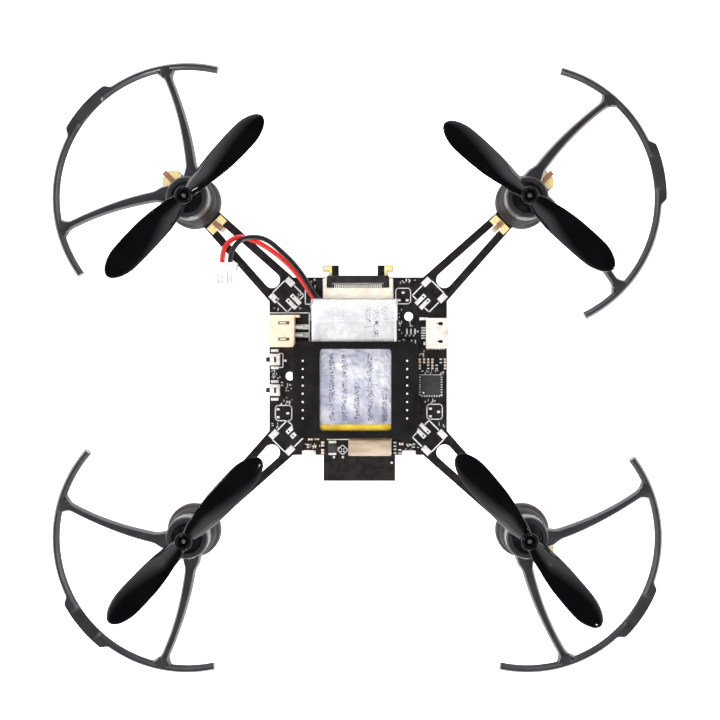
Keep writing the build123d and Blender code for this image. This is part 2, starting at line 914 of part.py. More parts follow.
with BuildPart() as fpc_latch:
    add(
        box_between(
            (-latch_half, latch_near, latch_axis_z - latch_thickness / 2),
            (latch_half, latch_far, latch_axis_z + latch_thickness / 2),
        )
    )
    for side in (-1, 1):
        inner = side * (latch_half - latch_arm)
        outer = side * latch_half
        add(
            box_between(
                (min(inner, outer), latch_axis_y, latch_axis_z - latch_thickness / 2),
                (max(inner, outer), latch_far, latch_axis_z + latch_thickness / 2),
            )
        )
        with BuildSketch(Plane.YZ.offset(min(inner, outer))):
            with Locations((latch_axis_y, latch_axis_z)):
                Circle(latch_thickness / 2)
        extrude(amount=latch_arm)
    for pin_start in (-latch_half - pin_length, latch_half - latch_arm):
        with BuildSketch(Plane.YZ.offset(pin_start)):
            with Locations((latch_axis_y, latch_axis_z)):
                Circle(latch_pin_radius)
        extrude(amount=latch_arm + pin_length)
fpc_latch.part.label = "fpc_latch"
export_step(fpc_latch.part, "parts/fpc_latch.step")

# ---- two side-push switches on the left edge ----
switch_left = -21.9
switch_right = -19.4
switch_half = 1.4
switch_height = 1.7
button_left = -22.95
button_right = -20.9
button_half_width = 0.6
button_low = board_top + 0.4
button_high = board_top + 1.2
button_round = 0.2
button_slot_end = -20.4
switches = [("front_button", 1.7), ("rear_button", -5.9)]
with BuildPart() as switch_bodies:
    for name, switch_y in switches:
        add(
            box_between(
                (switch_left, switch_y - switch_half, board_top),
                (switch_right, switch_y + switch_half, board_top + switch_height),
            )
        )
    for name, switch_y in switches:
        add(
            box_between(
                (
                    switch_left - 1,
                    switch_y - button_half_width - running_gap,
                    button_low - running_gap,
                ),
                (
                    button_slot_end,
                    switch_y + button_half_width + running_gap,
                    button_high + running_gap,
                ),
            ),
            mode=Mode.SUBTRACT,
        )
switch_bodies.part.label = "switch_bodies"
export_step(switch_bodies.part, "parts/switch_bodies.step")

for name, switch_y in switches:
    with BuildPart() as button:
        add(
            box_between(
                (button_left, switch_y - button_half_width, button_low),
                (button_right, switch_y + button_half_width, button_high),
            )
        )
        fillet(button.edges().filter_by(Axis.Z).group_by(Axis.X)[0], radius=button_round)
    button.part.label = name
    export_step(button.part, f"parts/{name}.step")

# ---- radio module under the rear edge ----
module_x = 0.28
module_width = 18.0
module_back = -28.9
module_front = -3.4
module_board = 0.8
shield_height = 2.3
shield_back = -22.0
shield_front = -4.2
shield_width = 16.0
shield_sheet = 0.2
shield_corner = 0.6
with BuildPart() as radio_board:
    add(
        box_between(
            (module_x - module_width / 2, module_back, board_bottom - module_board),
            (module_x + module_width / 2, module_front, board_bottom),
        )
    )
radio_board.part.label = "radio_board"
export_step(radio_board.part, "parts/radio_board.step")

shield_top = board_bottom - module_board
with BuildPart() as radio_shield:
    add(
        box_between(
            (module_x - shield_width / 2, shield_back, shield_top - shield_height),
            (module_x + shield_width / 2, shield_front, shield_top),
        )
    )
    fillet(radio_shield.edges().filter_by(Axis.Z), radius=shield_corner)
    add(
        box_between(
            (
                module_x - shield_width / 2 + shield_sheet,
                shield_back + shield_sheet,
                shield_top - shield_height + shield_sheet,
            ),
            (
                module_x + shield_width / 2 - shield_sheet,
                shield_front - shield_sheet,
                shield_top + 1,
            ),
        ),
        mode=Mode.SUBTRACT,
    )
radio_shield.part.label = "radio_shield"
export_step(radio_shield.part, "parts/radio_shield.step")

# ---- soldered chips: each one's low corner, high corner and height ----
chip_boxes = [
    ((15.7, -7.2), (20.6, -2.3), 0.85),  # sensor
    ((-2.3, -22.1), (8.2, -18.2), 3.3),  # crystal can
    ((-7.5, -22.0), (-5.3, -18.5), 1.1),  # diode
    ((-14.0, -22.2), (-10.6, -20.9), 0.8),  # left lamp
    ((10.9, -22.2), (14.4, -20.9), 0.8),  # right lamp
]
with BuildPart() as board_chips:
    for low, high, height in chip_boxes:
        add(box_between((*low, board_top), (*high, board_top + height)))
board_chips.part.label = "board_chips"
export_step(board_chips.part, "parts/board_chips.step")

# ---- battery lead: two wires to a plug that lies on the front left arm ----
plug_x = -32.7
plug_back = 19.2
plug_front = 25.8
plug_half = 2.7
plug_bottom = board_top
plug_top = board_top + 4.0
plug_corner = 0.3
plug_wire_z = board_top + 2.0
battery_front = battery_y + battery_length / 2
red_plug_x = plug_x - contact_pitch / 2
black_plug_x = plug_x + contact_pitch / 2
red_route = [
    (-10.6, battery_front, 11.2),
    (-10.6, battery_front + 1.8, 11.2),
    (-11.4, 20.6, 11.25),
    (-13.2, 23.2, 11.3),
    (-16.0, 25.8, 11.3),
    (-19.5, 28.5, 11.3),
    (-23.3, 30.9, 11.2),
    (-26.9, 32.2, 11.0),
    (-29.6, 32.3, 11.0),
    (-31.7, 31.4, 11.2),
    (-33.1, 29.7, 11.5),
    (red_plug_x, plug_front + 1.8, plug_wire_z),
    (red_plug_x, plug_front, plug_wire_z),
]
black_route = [
    (-9.6, battery_front, 12.4),
    (-9.6, battery_front + 1.8, 12.4),
    (-10.3, 20.7, 12.45),
    (-12.0, 23.6, 12.5),
    (-14.9, 26.7, 12.5),
    (-18.6, 29.6, 12.6),
    (-22.6, 31.6, 12.7),
    (-26.0, 32.2, 12.7),
    (-28.6, 31.6, 12.45),
    (-30.2, 30.3, 12.1),
    (-31.2, 28.8, 11.75),
    (black_plug_x, plug_front + 1.5, plug_wire_z),
    (black_plug_x, plug_front, plug_wire_z),
]


def corner_radii(route):
    """The arc at each corner that takes 0.45 of its shorter run."""
    points = [Vector(*point) for point in route]
    radii = []
    for before, here, after in zip(points, points[1:], points[2:]):
        arrive = here - before
        leave = after - here
        half_turn = radians(arrive.get_angle(leave)) / 2
        radii.append(bend_share * min(arrive.length, leave.length) / tan(half_turn))
    return radii


for name, route in (("battery_red_wire", red_route), ("battery_black_wire", black_route)):
    radii = corner_radii(route)
    with BuildPart() as wire:
        with BuildLine() as wire_path:
            FilletPolyline(*route, radius=radii)
        path = wire_path.wire()
        with BuildSketch(Plane(origin=path @ 0, z_dir=path % 0)):
            Circle(wire_diameter / 2)
        sweep(path=path)
    wire.part.label = name
    export_step(wire.part, f"parts/{name}.step")
    expected = pi * wire_diameter**2 / 4 * path.length
    print(name, "radii", [round(radius, 2) for radius in radii])
    print(name, "length", round(path.length, 2), "volume", wire.part.volume, expected)

with BuildPart() as battery_plug:
    add(
        box_between(
            (plug_x - plug_half, plug_back, plug_bottom),
            (plug_x + plug_half, plug_front, plug_top),
        )
    )
    fillet(battery_plug.edges().filter_by(Axis.Y), radius=plug_corner)
battery_plug.part.label = "battery_plug"
export_step(battery_plug.part, "parts/battery_plug.step")
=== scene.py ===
import json
import math
import random

import bmesh
import bpy
from mathutils import Matrix, Vector, noise


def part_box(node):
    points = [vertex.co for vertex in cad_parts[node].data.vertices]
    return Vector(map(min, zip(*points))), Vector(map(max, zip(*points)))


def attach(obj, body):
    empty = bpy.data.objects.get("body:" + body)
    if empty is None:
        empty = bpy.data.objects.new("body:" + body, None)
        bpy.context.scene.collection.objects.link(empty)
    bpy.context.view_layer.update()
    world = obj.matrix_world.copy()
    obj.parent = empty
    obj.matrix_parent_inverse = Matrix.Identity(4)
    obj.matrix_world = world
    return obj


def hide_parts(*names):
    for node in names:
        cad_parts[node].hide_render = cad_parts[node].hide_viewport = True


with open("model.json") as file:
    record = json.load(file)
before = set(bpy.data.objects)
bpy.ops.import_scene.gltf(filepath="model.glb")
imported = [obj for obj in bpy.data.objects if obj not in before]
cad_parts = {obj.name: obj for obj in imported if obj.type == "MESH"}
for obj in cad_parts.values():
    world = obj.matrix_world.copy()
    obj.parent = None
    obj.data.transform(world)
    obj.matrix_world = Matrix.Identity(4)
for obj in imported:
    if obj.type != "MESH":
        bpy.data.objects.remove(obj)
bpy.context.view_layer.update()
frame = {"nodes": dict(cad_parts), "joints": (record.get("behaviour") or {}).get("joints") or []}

# Lengths are millimetres in the part's frame, unless a comment says that they are metres.
# Meshes are scaled to metres when a piece is made.
METRE = 1000.0
nodes = frame["nodes"]
rotors = {
    joint["child"].removesuffix("_rotor"): Vector(joint["pos_m"]) * METRE
    for joint in frame["joints"]
    if joint.get("continuous")
}

# Each corner: propeller angle, guard angle, and hand, +1 or -1 for the mirrored kinds.
corners = {
    "front_left": (46.5, 146.0, 1),
    "front_right": (-41.5, 3.5, -1),
    "rear_left": (46.5, 212.5, -1),
    "rear_right": (-49.5, -26.0, 1),
}


def add_object(name, data):
    """A new object in the scene."""
    made = bpy.data.objects.new(name, data)
    bpy.context.scene.collection.objects.link(made)
    return made


def level_axes(angle):
    """Level unit vectors along and across an angle in degrees."""
    along = Vector((math.cos(math.radians(angle)), math.sin(math.radians(angle)), 0))
    return along, Vector((-along.y, along.x, 0))


def box_mm(node):
    """A CAD node's lowest and highest corners, in millimetres."""
    low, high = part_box(node)
    return low * METRE, high * METRE


board_low, board_high = box_mm("main_board")
board_top = board_high.z
battery_low, battery_high = box_mm("battery")
plug_low, plug_high = box_mm("battery_plug")

# ---- camera: straight above, a little right of and before the board's middle ----
camera_x = 6.46
camera_y = 10.3
camera_height = 283.0
lens_mm = 56.6
frame_shift = (-0.0333, -0.0486)

camera_data = bpy.data.cameras.new("camera")
camera_data.lens = lens_mm
camera_data.sensor_width = 36.0
camera_data.shift_x, camera_data.shift_y = frame_shift
camera_data.clip_start = 0.01
camera_data.clip_end = 10.0
camera = add_object("camera", camera_data)
camera.location = Vector((camera_x, camera_y, board_top + camera_height)) / METRE
bpy.context.scene.camera = camera
bpy.context.scene.view_settings.view_transform = "Standard"


# ---- materials ----
smudge_scale = 2.3
coat_roughness = 0.12
trace_pitch = 1.4
crease_pitch = 2.6
# where the foil turns from its window, painted with shade, to its shoulder, painted near white as
# glare, in metres along Y
shade_to_glare_span = (0.004, 0.0065)


def shader_nodes(name):
    """A new node material with its principled shader."""
    material = bpy.data.materials.new(name)
    material.use_nodes = True
    return material, material.node_tree, material.node_tree.nodes["Principled BSDF"]


def fill_inputs(tree, node, values):
    """Fills a node's own sockets, each with a constant or from another node."""
    for name, value in values.items():
        if isinstance(value, bpy.types.NodeSocket):
            tree.links.new(value, node.inputs[name])
        else:
            node.inputs[name].default_value = value


def add_node(tree, kind, values):
    """A new shader node with its inputs filled."""
    made = tree.nodes.new("ShaderNode" + kind)
    fill_inputs(tree, made, values)
    return made


def object_place(tree):
    """The place of a point in its object's own frame."""
    return tree.nodes.new("ShaderNodeTexCoord").outputs["Object"]


def noise_at(tree, size, detail=5.0, stretch=(1, 1, 1)):
    """A noise whose features are about size millimetres across."""
    mapping = add_node(tree, "Mapping", {"Vector": object_place(tree), "Scale": stretch})
    texture = add_node(tree, "TexNoise", {
        "Vector": mapping.outputs["Vector"], "Scale": METRE / size, "Detail": detail,
    })
    return texture.outputs["Fac"]


def spread(tree, value, low, high, source=(0.3, 0.7)):
    """Maps a value from one range to another."""
    ranger = add_node(tree, "MapRange", {
        "Value": value, "From Min": source[0], "From Max": source[1], "To Min": low, "To Max": high,
    })
    return ranger.outputs["Result"]


def blend_colours(tree, factor, first, second):
    """A mix of two colours, each a tuple or a socket."""
    mix = tree.nodes.new("ShaderNodeMix")
    mix.data_type = "RGBA"
    tree.links.new(factor, mix.inputs["Factor"])
    for slot_name, colour in (("A", first), ("B", second)):
        socket = [s for s in mix.inputs if s.name == slot_name and s.type == "RGBA"][0]
        if isinstance(colour, tuple):
            socket.default_value = (*colour, 1)
        else:
            tree.links.new(colour, socket)
    return [s for s in mix.outputs if s.type == "RGBA"][0]


def edge_mask(tree, radius, amount):
    """Up to amount along sharp edges, and nothing on flat faces."""
    bevel = add_node(tree, "Bevel", {"Radius": radius / METRE})
    bevel.samples = 4
    geometry = tree.nodes.new("ShaderNodeNewGeometry")
    dot = add_node(tree, "VectorMath", {0: bevel.outputs["Normal"], 1: geometry.outputs["Normal"]})
    dot.operation = "DOT_PRODUCT"
    return spread(tree, dot.outputs["Value"], amount, 0.0, (0.80, 0.99))


def add_relief(tree, height, strength, depth, under=None):
    """Bumps of a depth in millimetres, over other bumps if there are any."""
    relief = add_node(tree, "Bump", {"Height": height, "Strength": strength, "Distance": depth / METRE})
    if under:
        tree.links.new(under, relief.inputs["Normal"])
    return relief.outputs["Normal"]


def surface(
    name, dark, light, rough, metal=0.0, coat=0.0, gloss=0.5, size=1.5, rough_vary=0.08,
    bump_size=0.12, bump=0.01, wear=None, wear_amount=0.5, wear_radius=0.12, stretch=(1, 1, 1),
):
    """A material with drifting colour and roughness, fine relief and worn edges."""
    material, tree, shader = shader_nodes(name)
    drift = noise_at(tree, size, stretch=stretch)
    colour = blend_colours(tree, spread(tree, drift, 0, 1), dark, light)
    if wear:
        colour = blend_colours(tree, edge_mask(tree, wear_radius, wear_amount), colour, wear)
    smudge = noise_at(tree, size * smudge_scale, 3.0, stretch)
    fine = noise_at(tree, bump_size, 3.0, stretch)
    fill_inputs(tree, shader, {
        "Base Color": colour,
        "Roughness": spread(tree, smudge, max(rough - rough_vary, 0.03), rough + rough_vary),
        "Metallic": metal,
        "Specular IOR Level": gloss,
        "Coat Weight": coat,
        "Coat Roughness": coat_roughness,
        "Normal": add_relief(tree, fine, 0.5, bump),
    })
    return material


def board_surface():
    """Black solder mask with faint traces under it, and brown laminate at the cut edges."""
    material, tree, shader = shader_nodes("solder_mask")
    cells = add_node(tree, "TexVoronoi", {"Vector": object_place(tree), "Scale": METRE / trace_pitch})
    cells.distance = "CHEBYCHEV"
    traces = spread(tree, cells.outputs["Distance"], 0, 1, (0.36, 0.42))
    mask = blend_colours(tree, traces, (0.011, 0.009, 0.009), (0.018, 0.015, 0.015))
    geometry = tree.nodes.new("ShaderNodeNewGeometry")
    split = add_node(tree, "SeparateXYZ", {"Vector": geometry.outputs["True Normal"]})
    upright = add_node(tree, "Math", {0: split.outputs["Z"]})
    upright.operation = "ABSOLUTE"
    flat = spread(tree, upright.outputs["Value"], 0, 1, (0.4, 0.6))
    layers = spread(tree, noise_at(tree, 0.5, 4.0, (1, 1, 6)), 0, 1)
    laminate = blend_colours(tree, layers, (0.035, 0.012, 0.010), (0.085, 0.040, 0.030))
    fill_inputs(tree, shader, {
        "Base Color": blend_colours(tree, flat, laminate, mask),
        "Roughness": spread(tree, noise_at(tree, 4.0), 0.26, 0.40),
        "Specular IOR Level": 0.4,
        "Normal": add_relief(tree, traces, 0.2, 0.02),
    })
    return material


def foil_surface():
    """Soft aluminium pouch: a bluish window with painted shade, a front shoulder painted pale as a
    painted highlight of glare, and shallow creases.
    """
    material, tree, shader = shader_nodes("pouch_foil")
    place = object_place(tree)
    tone_and_shade = spread(tree, noise_at(tree, 7.0, 4.0), 0, 1)
    # painted shade: the window's dark lavender end stands for shade on the foil as well as its real
    # tint
    window_with_shade = blend_colours(tree, tone_and_shade, (0.27, 0.28, 0.42), (0.84, 0.84, 0.87))
    # painted highlight: the shoulder's pale colours stand for glare on the foil
    shoulder = blend_colours(tree, tone_and_shade, (0.60, 0.60, 0.63), (0.95, 0.95, 0.95))
    split = add_node(tree, "SeparateXYZ", {"Vector": place})
    # painted light: this mask turns the colour from the shaded window to the glaring shoulder
    forward = spread(tree, split.outputs["Y"], 0.0, 1.0, shade_to_glare_span)
    warp = add_node(tree, "TexNoise", {"Vector": place, "Scale": METRE / 3.0})
    shift = tree.nodes.new("ShaderNodeVectorMath")
    shift.operation = "MULTIPLY_ADD"
    fill_inputs(tree, shift, {0: warp.outputs["Color"], 1: (0.004, 0.004, 0.004), 2: place})
    creases = tree.nodes.new("ShaderNodeTexVoronoi")
    creases.feature = "DISTANCE_TO_EDGE"
    fill_inputs(tree, creases, {"Vector": shift.outputs["Vector"], "Scale": METRE / crease_pitch})
    folds = spread(tree, creases.outputs["Distance"], 0, 1, (0.0, 0.16))
    creased = add_relief(tree, folds, 0.5, 0.06)
    fill_inputs(tree, shader, {
        "Base Color": blend_colours(tree, forward, window_with_shade, shoulder),
        "Metallic": 0.22,
        "Roughness": spread(tree, noise_at(tree, 2.5, 4.0), 0.26, 0.46),
        "Normal": add_relief(tree, noise_at(tree, 1.1, 5.0), 0.4, 0.05, creased),
    })
    return material


def clear_surface(name, tint, alpha):
    """Thin clear film."""
    material, tree, shader = shader_nodes(name)
    haze = spread(tree, noise_at(tree, 2.0), 0, 1)
    fill_inputs(tree, shader, {
        "Base Color": blend_colours(tree, haze, tint, (0.95, 0.95, 0.95)),
        "Roughness": spread(tree, noise_at(tree, 1.0), 0.08, 0.25),
        "Alpha": alpha,
    })
    return material


solder_mask = board_surface()
pouch_foil = foil_surface()
guard_black = surface(
    "guard_black", (0.014, 0.013, 0.015), (0.026, 0.025, 0.028), 0.38, gloss=0.6, coat=0.25,
    size=5.0, rough_vary=0.06, bump_size=0.35, bump=0.012, wear=(0.08, 0.08, 0.09),
    wear_amount=0.3,
)
prop_black = surface(
    "prop_black", (0.0015, 0.0015, 0.002), (0.003, 0.003, 0.004), 0.07, gloss=0.32, size=6.0,
    rough_vary=0.04, bump_size=1.6, wear=(0.02, 0.02, 0.02), wear_amount=0.2,
)
rubber_black = surface(
    "rubber_black", (0.006, 0.005, 0.005), (0.014, 0.012, 0.012), 0.42, gloss=0.35, size=2.0,
    rough_vary=0.10, bump_size=0.3, bump=0.02, wear=(0.05, 0.05, 0.05), wear_amount=0.3,
)
motor_steel = surface(
    "motor_steel", (0.07, 0.07, 0.075), (0.15, 0.15, 0.16), 0.34, metal=1.0, size=1.0,
    stretch=(1, 1, 0.1), bump_size=0.2, bump=0.004, wear=(0.5, 0.5, 0.5),
)
shaft_steel = surface(
    "shaft_steel", (0.30, 0.30, 0.31), (0.45, 0.45, 0.46), 0.22, metal=0.8, size=0.5,
    bump_size=0.1, bump=0.002, wear=(0.85, 0.85, 0.85),
)
coil_copper = surface(
    "coil_copper", (0.42, 0.17, 0.07), (0.62, 0.30, 0.14), 0.35, metal=1.0, size=0.25,
    stretch=(1, 1, 5), bump_size=0.15, bump=0.03, wear=(0.7, 0.4, 0.2),
)
lead_copper = surface(
    "lead_copper", (0.24, 0.10, 0.05), (0.50, 0.28, 0.17), 0.45, metal=0.25, size=0.35,
    bump_size=0.15, bump=0.03, wear=(0.75, 0.55, 0.38),
)
gold_plate = surface(
    "gold_plate", (0.90, 0.68, 0.27), (1.00, 0.86, 0.46), 0.30, metal=0.10, size=0.8,
    bump_size=0.25, wear=(1.0, 0.90, 0.60),
)
solder_tin = surface(
    "solder_tin", (0.60, 0.59, 0.59), (0.92, 0.91, 0.90), 0.30, metal=0.10, size=0.4,
    bump_size=0.3, bump=0.04, wear=(0.98, 0.98, 0.98), wear_amount=0.3,
)
pin_metal = surface(
    "pin_metal", (0.78, 0.77, 0.74), (0.95, 0.94, 0.90), 0.25, metal=0.10, size=0.5,
    bump_size=0.2, bump=0.004, wear=(0.97, 0.97, 0.97),
)
plate_black = surface(
    "plate_black", (0.006, 0.0055, 0.0055), (0.011, 0.010, 0.010), 0.34, gloss=0.4, size=3.0,
    bump_size=0.10, bump=0.004, wear=(0.10, 0.06, 0.045), wear_amount=0.7, wear_radius=0.10,
)
moulded_black = surface(
    "moulded_black", (0.012, 0.012, 0.013), (0.028, 0.028, 0.030), 0.40, size=1.2,
    bump=0.008, wear=(0.12, 0.12, 0.12),
)
chip_epoxy = surface(
    "chip_epoxy", (0.030, 0.029, 0.031), (0.050, 0.048, 0.050), 0.45, size=0.8,
    bump_size=0.06, bump=0.006, wear=(0.12, 0.12, 0.12),
)
cream_nylon = surface(
    "cream_nylon", (0.74, 0.58, 0.42), (0.87, 0.74, 0.57), 0.42, size=2.0,
    bump_size=0.2, bump=0.006, wear=(0.96, 0.88, 0.76), wear_amount=0.6,
)
ivory_plastic = surface(
    "ivory_plastic", (0.70, 0.64, 0.52), (0.86, 0.81, 0.70), 0.45,
    bump_size=0.15, bump=0.006, wear=(0.95, 0.93, 0.88),
)
shell_metal = surface(
    "shell_metal", (0.66, 0.58, 0.50), (0.95, 0.91, 0.86), 0.34, metal=0.12, size=1.8,
    bump_size=0.4, bump=0.008, wear=(1.0, 0.99, 0.97), wear_amount=0.7,
)
crystal_metal = surface(
    "crystal_metal", (0.34, 0.25, 0.18), (0.66, 0.54, 0.43), 0.38, metal=0.15, size=2.2,
    stretch=(0.25, 1, 1), bump_size=0.4, bump=0.006, wear=(0.96, 0.90, 0.82), wear_amount=0.8,
)
switch_metal = surface(
    "switch_metal", (0.66, 0.58, 0.55), (0.95, 0.90, 0.87), 0.35, metal=0.2, size=0.7,
    bump_size=0.3, wear=(1.0, 0.98, 0.96),
)
# painted shade: this brown fills the power socket's windows where shade falls in them
painted_slot_shade = surface(
    "painted_slot_shade", (0.10, 0.045, 0.022), (0.20, 0.10, 0.05), 0.6, size=0.4, bump_size=0.2,
)
# painted shade: this near black fills via holes, slots, the switches' top strips and the flat cable
# socket's mouth, where shade falls
painted_hole_shade = surface(
    "painted_hole_shade", (0.006, 0.006, 0.006), (0.014, 0.012, 0.012), 0.6, gloss=0.2, size=0.4,
    bump_size=0.2,
)
ink_white = surface(
    "ink_white", (0.62, 0.63, 0.65), (0.88, 0.88, 0.90), 0.6, size=0.35, bump_size=0.08,
)
ink_dark = surface(
    "ink_dark", (0.06, 0.06, 0.10), (0.17, 0.17, 0.25), 0.55, size=0.3, bump_size=0.1,
)
tape_amber = surface(
    "tape_amber", (0.62, 0.38, 0.015), (0.95, 0.72, 0.06), 0.16, coat=0.8, size=3.0,
    bump_size=0.8, bump=0.03, wear=(1.0, 0.90, 0.40),
)
ceramic_tan = surface(
    "ceramic_tan", (0.30, 0.15, 0.09), (0.58, 0.38, 0.26), 0.40, size=0.4, bump_size=0.1,
    wear=(0.80, 0.62, 0.48),
)
ceramic_orange = surface(
    "ceramic_orange", (0.55, 0.26, 0.12), (0.78, 0.46, 0.26), 0.40, size=0.4, bump_size=0.1,
    wear=(0.9, 0.7, 0.5),
)
lamp_white = surface(
    "lamp_white", (0.78, 0.76, 0.70), (0.92, 0.91, 0.87), 0.35, size=0.6, bump_size=0.2,
    wear=(0.98, 0.98, 0.97),
)
plug_white = surface(
    "plug_white", (0.82, 0.82, 0.81), (0.93, 0.93, 0.92), 0.38, bump_size=0.25,
    bump=0.008, wear=(0.98, 0.98, 0.98),
)
wire_red = surface(
    "wire_red", (0.60, 0.014, 0.012), (0.80, 0.035, 0.030), 0.30, bump_size=0.5,
)
wire_black = surface(
    "wire_black", (0.006, 0.006, 0.007), (0.016, 0.016, 0.018), 0.28, bump_size=0.5,
)
magnet_grey = surface(
    "magnet_grey", (0.10, 0.10, 0.11), (0.17, 0.17, 0.18), 0.5, metal=0.6, size=0.5,
    bump_size=0.1,
)
cap_plastic = surface(
    "cap_plastic", (0.62, 0.62, 0.60), (0.76, 0.76, 0.73), 0.45, size=1.0, bump_size=0.2,
    wear=(0.85, 0.85, 0.83),
)
clear_tape = clear_surface("clear_tape", (0.80, 0.80, 0.84), 0.28)


# ---- mesh helpers, in millimetres ----
def piece(name, mesh_data, materials, body="airframe", stands_for=(), sharp=35.0):
    """Makes an object of a bmesh, scales it to metres and rides it on a body."""
    bmesh.ops.recalc_face_normals(mesh_data, faces=mesh_data.faces)
    bmesh.ops.scale(mesh_data, vec=(1 / METRE,) * 3, verts=mesh_data.verts)
    mesh = bpy.data.meshes.new(name)
    mesh_data.to_mesh(mesh)
    mesh_data.free()
    for material in materials:
        mesh.materials.append(material)
    mesh.shade_smooth()
    mesh.set_sharp_from_angle(angle=math.radians(sharp))
    made = add_object(name, mesh)
    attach(made, body)
    if stands_for:
        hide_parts(*stands_for)
    return made


def add_rings(mesh_data, rings, close_ends=True, material=0):
    """Joins closed rings of points, one after another, into a tube."""
    made = [[mesh_data.verts.new(point) for point in ring] for ring in rings]
    count = len(made[0])
    faces = []
    for first, second in zip(made, made[1:]):
        for index in range(count):
            following = (index + 1) % count
            corners_of_face = (first[index], first[following], second[following], second[index])
            faces.append(mesh_data.faces.new(corners_of_face))
    if close_ends:
        faces.append(mesh_data.faces.new(list(reversed(made[0]))))
        faces.append(mesh_data.faces.new(made[-1]))
    for face in faces:
        face.material_index = material
    return faces


def add_prism(mesh_data, outline, low, high, bevel=0.0, material=0):
    """A straight prism on a level outline, with its edges rounded."""
    rings = [[(x, y, z) for x, y in outline] for z in (low, high)]
    faces = add_rings(mesh_data, rings, material=material)
    if bevel:
        edges = list({edge for face in faces for edge in face.edges})
        made = bmesh.ops.bevel(
            mesh_data, geom=edges, offset=bevel, segments=2, profile=0.6, affect="EDGES"
        )
        for face in made["faces"]:
            face.material_index = material


def add_box(mesh_data, low, high, bevel=0.0, material=0):
    """A block between two corners."""
    outline = [(low[0], low[1]), (high[0], low[1]), (high[0], high[1]), (low[0], high[1])]
    add_prism(mesh_data, outline, low[2], high[2], bevel, material)


def turned_box(centre, length, width, angle):
    """The four corners of a level rectangle whose length lies at an angle in degrees."""
    along, across = (axis.xy for axis in level_axes(angle))
    middle = Vector(centre)
    return [
        middle + along * (side_a * length / 2) + across * (side_b * width / 2)
        for side_a, side_b in ((-1, -1), (1, -1), (1, 1), (-1, 1))
    ]


def circle(x, y, radius, steps):
    """Points round a level circle."""
    turns = [2 * math.pi * step / steps for step in range(steps)]
    return [(x + radius * math.cos(turn), y + radius * math.sin(turn)) for turn in turns]


def add_revolved(mesh_data, centre, profile, steps=64, material=0):
    """Turns a closed profile of (radius, height) points about an upright axis."""
    rings = []
    for step in range(steps):
        angle = 2 * math.pi * step / steps
        direction = Vector((math.cos(angle), math.sin(angle), 0))
        base = Vector((centre[0], centre[1], 0))
        rings.append([base + direction * r + Vector((0, 0, z)) for r, z in profile])
    add_rings(mesh_data, [*rings, rings[0]], close_ends=False, material=material)
    bmesh.ops.remove_doubles(mesh_data, verts=mesh_data.verts, dist=1e-4)


def rounded(profile, radius, steps=4):
    """Rounds every corner of a closed profile by at most radius."""
    made = []
    count = len(profile)
    for index in range(count):
        here = Vector(profile[index])
        before = Vector(profile[index - 1]) - here
        after = Vector(profile[(index + 1) % count]) - here
        reach = min(radius, before.length * 0.45, after.length * 0.45)
        start = here + before.normalized() * reach
        end = here + after.normalized() * reach
        for step in range(steps + 1):
            part = step / steps
            inner = start.lerp(here, part)
            outer = here.lerp(end, part)
            made.append(tuple(inner.lerp(outer, part)))
    return made


def cad_copy(node, bevel, angle=28.0, segments=2):
    """A CAD node's shape with its sharp edges rounded, as a new mesh in millimetres."""
    made = bmesh.new()
    made.from_mesh(nodes[node].data)
    bmesh.ops.scale(made, vec=(METRE,) * 3, verts=made.verts)
    bmesh.ops.remove_doubles(made, verts=made.verts, dist=0.002)
    bmesh.ops.dissolve_limit(
        made, angle_limit=math.radians(0.6), verts=made.verts, edges=made.edges
    )
    for face in made.faces:
        face.material_index = 0
    if bevel:
        sharp = [
            edge
            for edge in made.edges
            if len(edge.link_faces) == 2 and edge.calc_face_angle(0) > math.radians(angle)
        ]
        bmesh.ops.bevel(
            made, geom=sharp, offset=bevel, segments=segments, profile=0.6, affect="EDGES",
            clamp_overlap=True,
        )
    return made


def finish_node(node, material, bevel, body="airframe"):
    """Replaces a CAD node by the same shape with rounded edges."""
    return piece(f"{node}_finished", cad_copy(node, bevel), [material], body, (node,))


def paint_node(node, material):
    """Gives a CAD node that stays in view a material."""
    for place in nodes[node].material_slots:
        place.link = "OBJECT"
        place.material = material


# ---- the lead: two wires from the battery to the plug ----
plug_wall = 0.75
contact_offset = 1.0
key_offset = 2.3
# the wires' places and diameter are in metres, as the wire curves use them
wire_diameter = 0.0013
red_route = [
    (-0.0106, 0.0165, 0.0112),
    (-0.0113, 0.0176, 0.0112),
    (-0.0126, 0.0194, 0.0112),
    (-0.0143, 0.0220, 0.0112),
    (-0.0167, 0.0248, 0.0112),
    (-0.0199, 0.0277, 0.0112),
    (-0.0235, 0.0302, 0.0112),
    (-0.0269, 0.0318, 0.0110),
    (-0.0296, 0.0323, 0.0110),
    (-0.0317, 0.0314, 0.0112),
    (-0.0331, 0.0297, 0.0115),
    (-0.0337, 0.0276, 0.0116),
    (-0.0337, 0.0258, 0.0116),
]
black_route = [
    (-0.0096, 0.0165, 0.0124),
    (-0.0106, 0.0177, 0.0125),
    (-0.0120, 0.0198, 0.01255),
    (-0.0136, 0.0226, 0.0126),
    (-0.0160, 0.0257, 0.0126),
    (-0.0192, 0.0288, 0.0126),
    (-0.0226, 0.0316, 0.0127),
    (-0.0260, 0.0322, 0.0127),
    (-0.0286, 0.0316, 0.01245),
    (-0.0302, 0.0303, 0.0121),
    (-0.0312, 0.0288, 0.01175),
    (-0.0317, 0.0273, 0.0116),
    (-0.0317, 0.0258, 0.0116),
]


def wire(name, route, material, node):
    """A wire on a smooth spline through its route's control points."""
    curve = bpy.data.curves.new(name, "CURVE")
    curve.dimensions = "3D"
    spline = curve.splines.new("NURBS")
    spline.points.add(len(route) - 1)
    for point, place in zip(spline.points, route):
        point.co = (*place, 1)
    spline.order_u = 3
    spline.use_endpoint_u = True
    spline.resolution_u = 12
    curve.bevel_depth = wire_diameter / 2
    curve.bevel_resolution = 8
    curve.use_fill_caps = True
    curve.materials.append(material)
    made = add_object(name, curve)
    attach(made, "airframe")
    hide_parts(node)
    return made


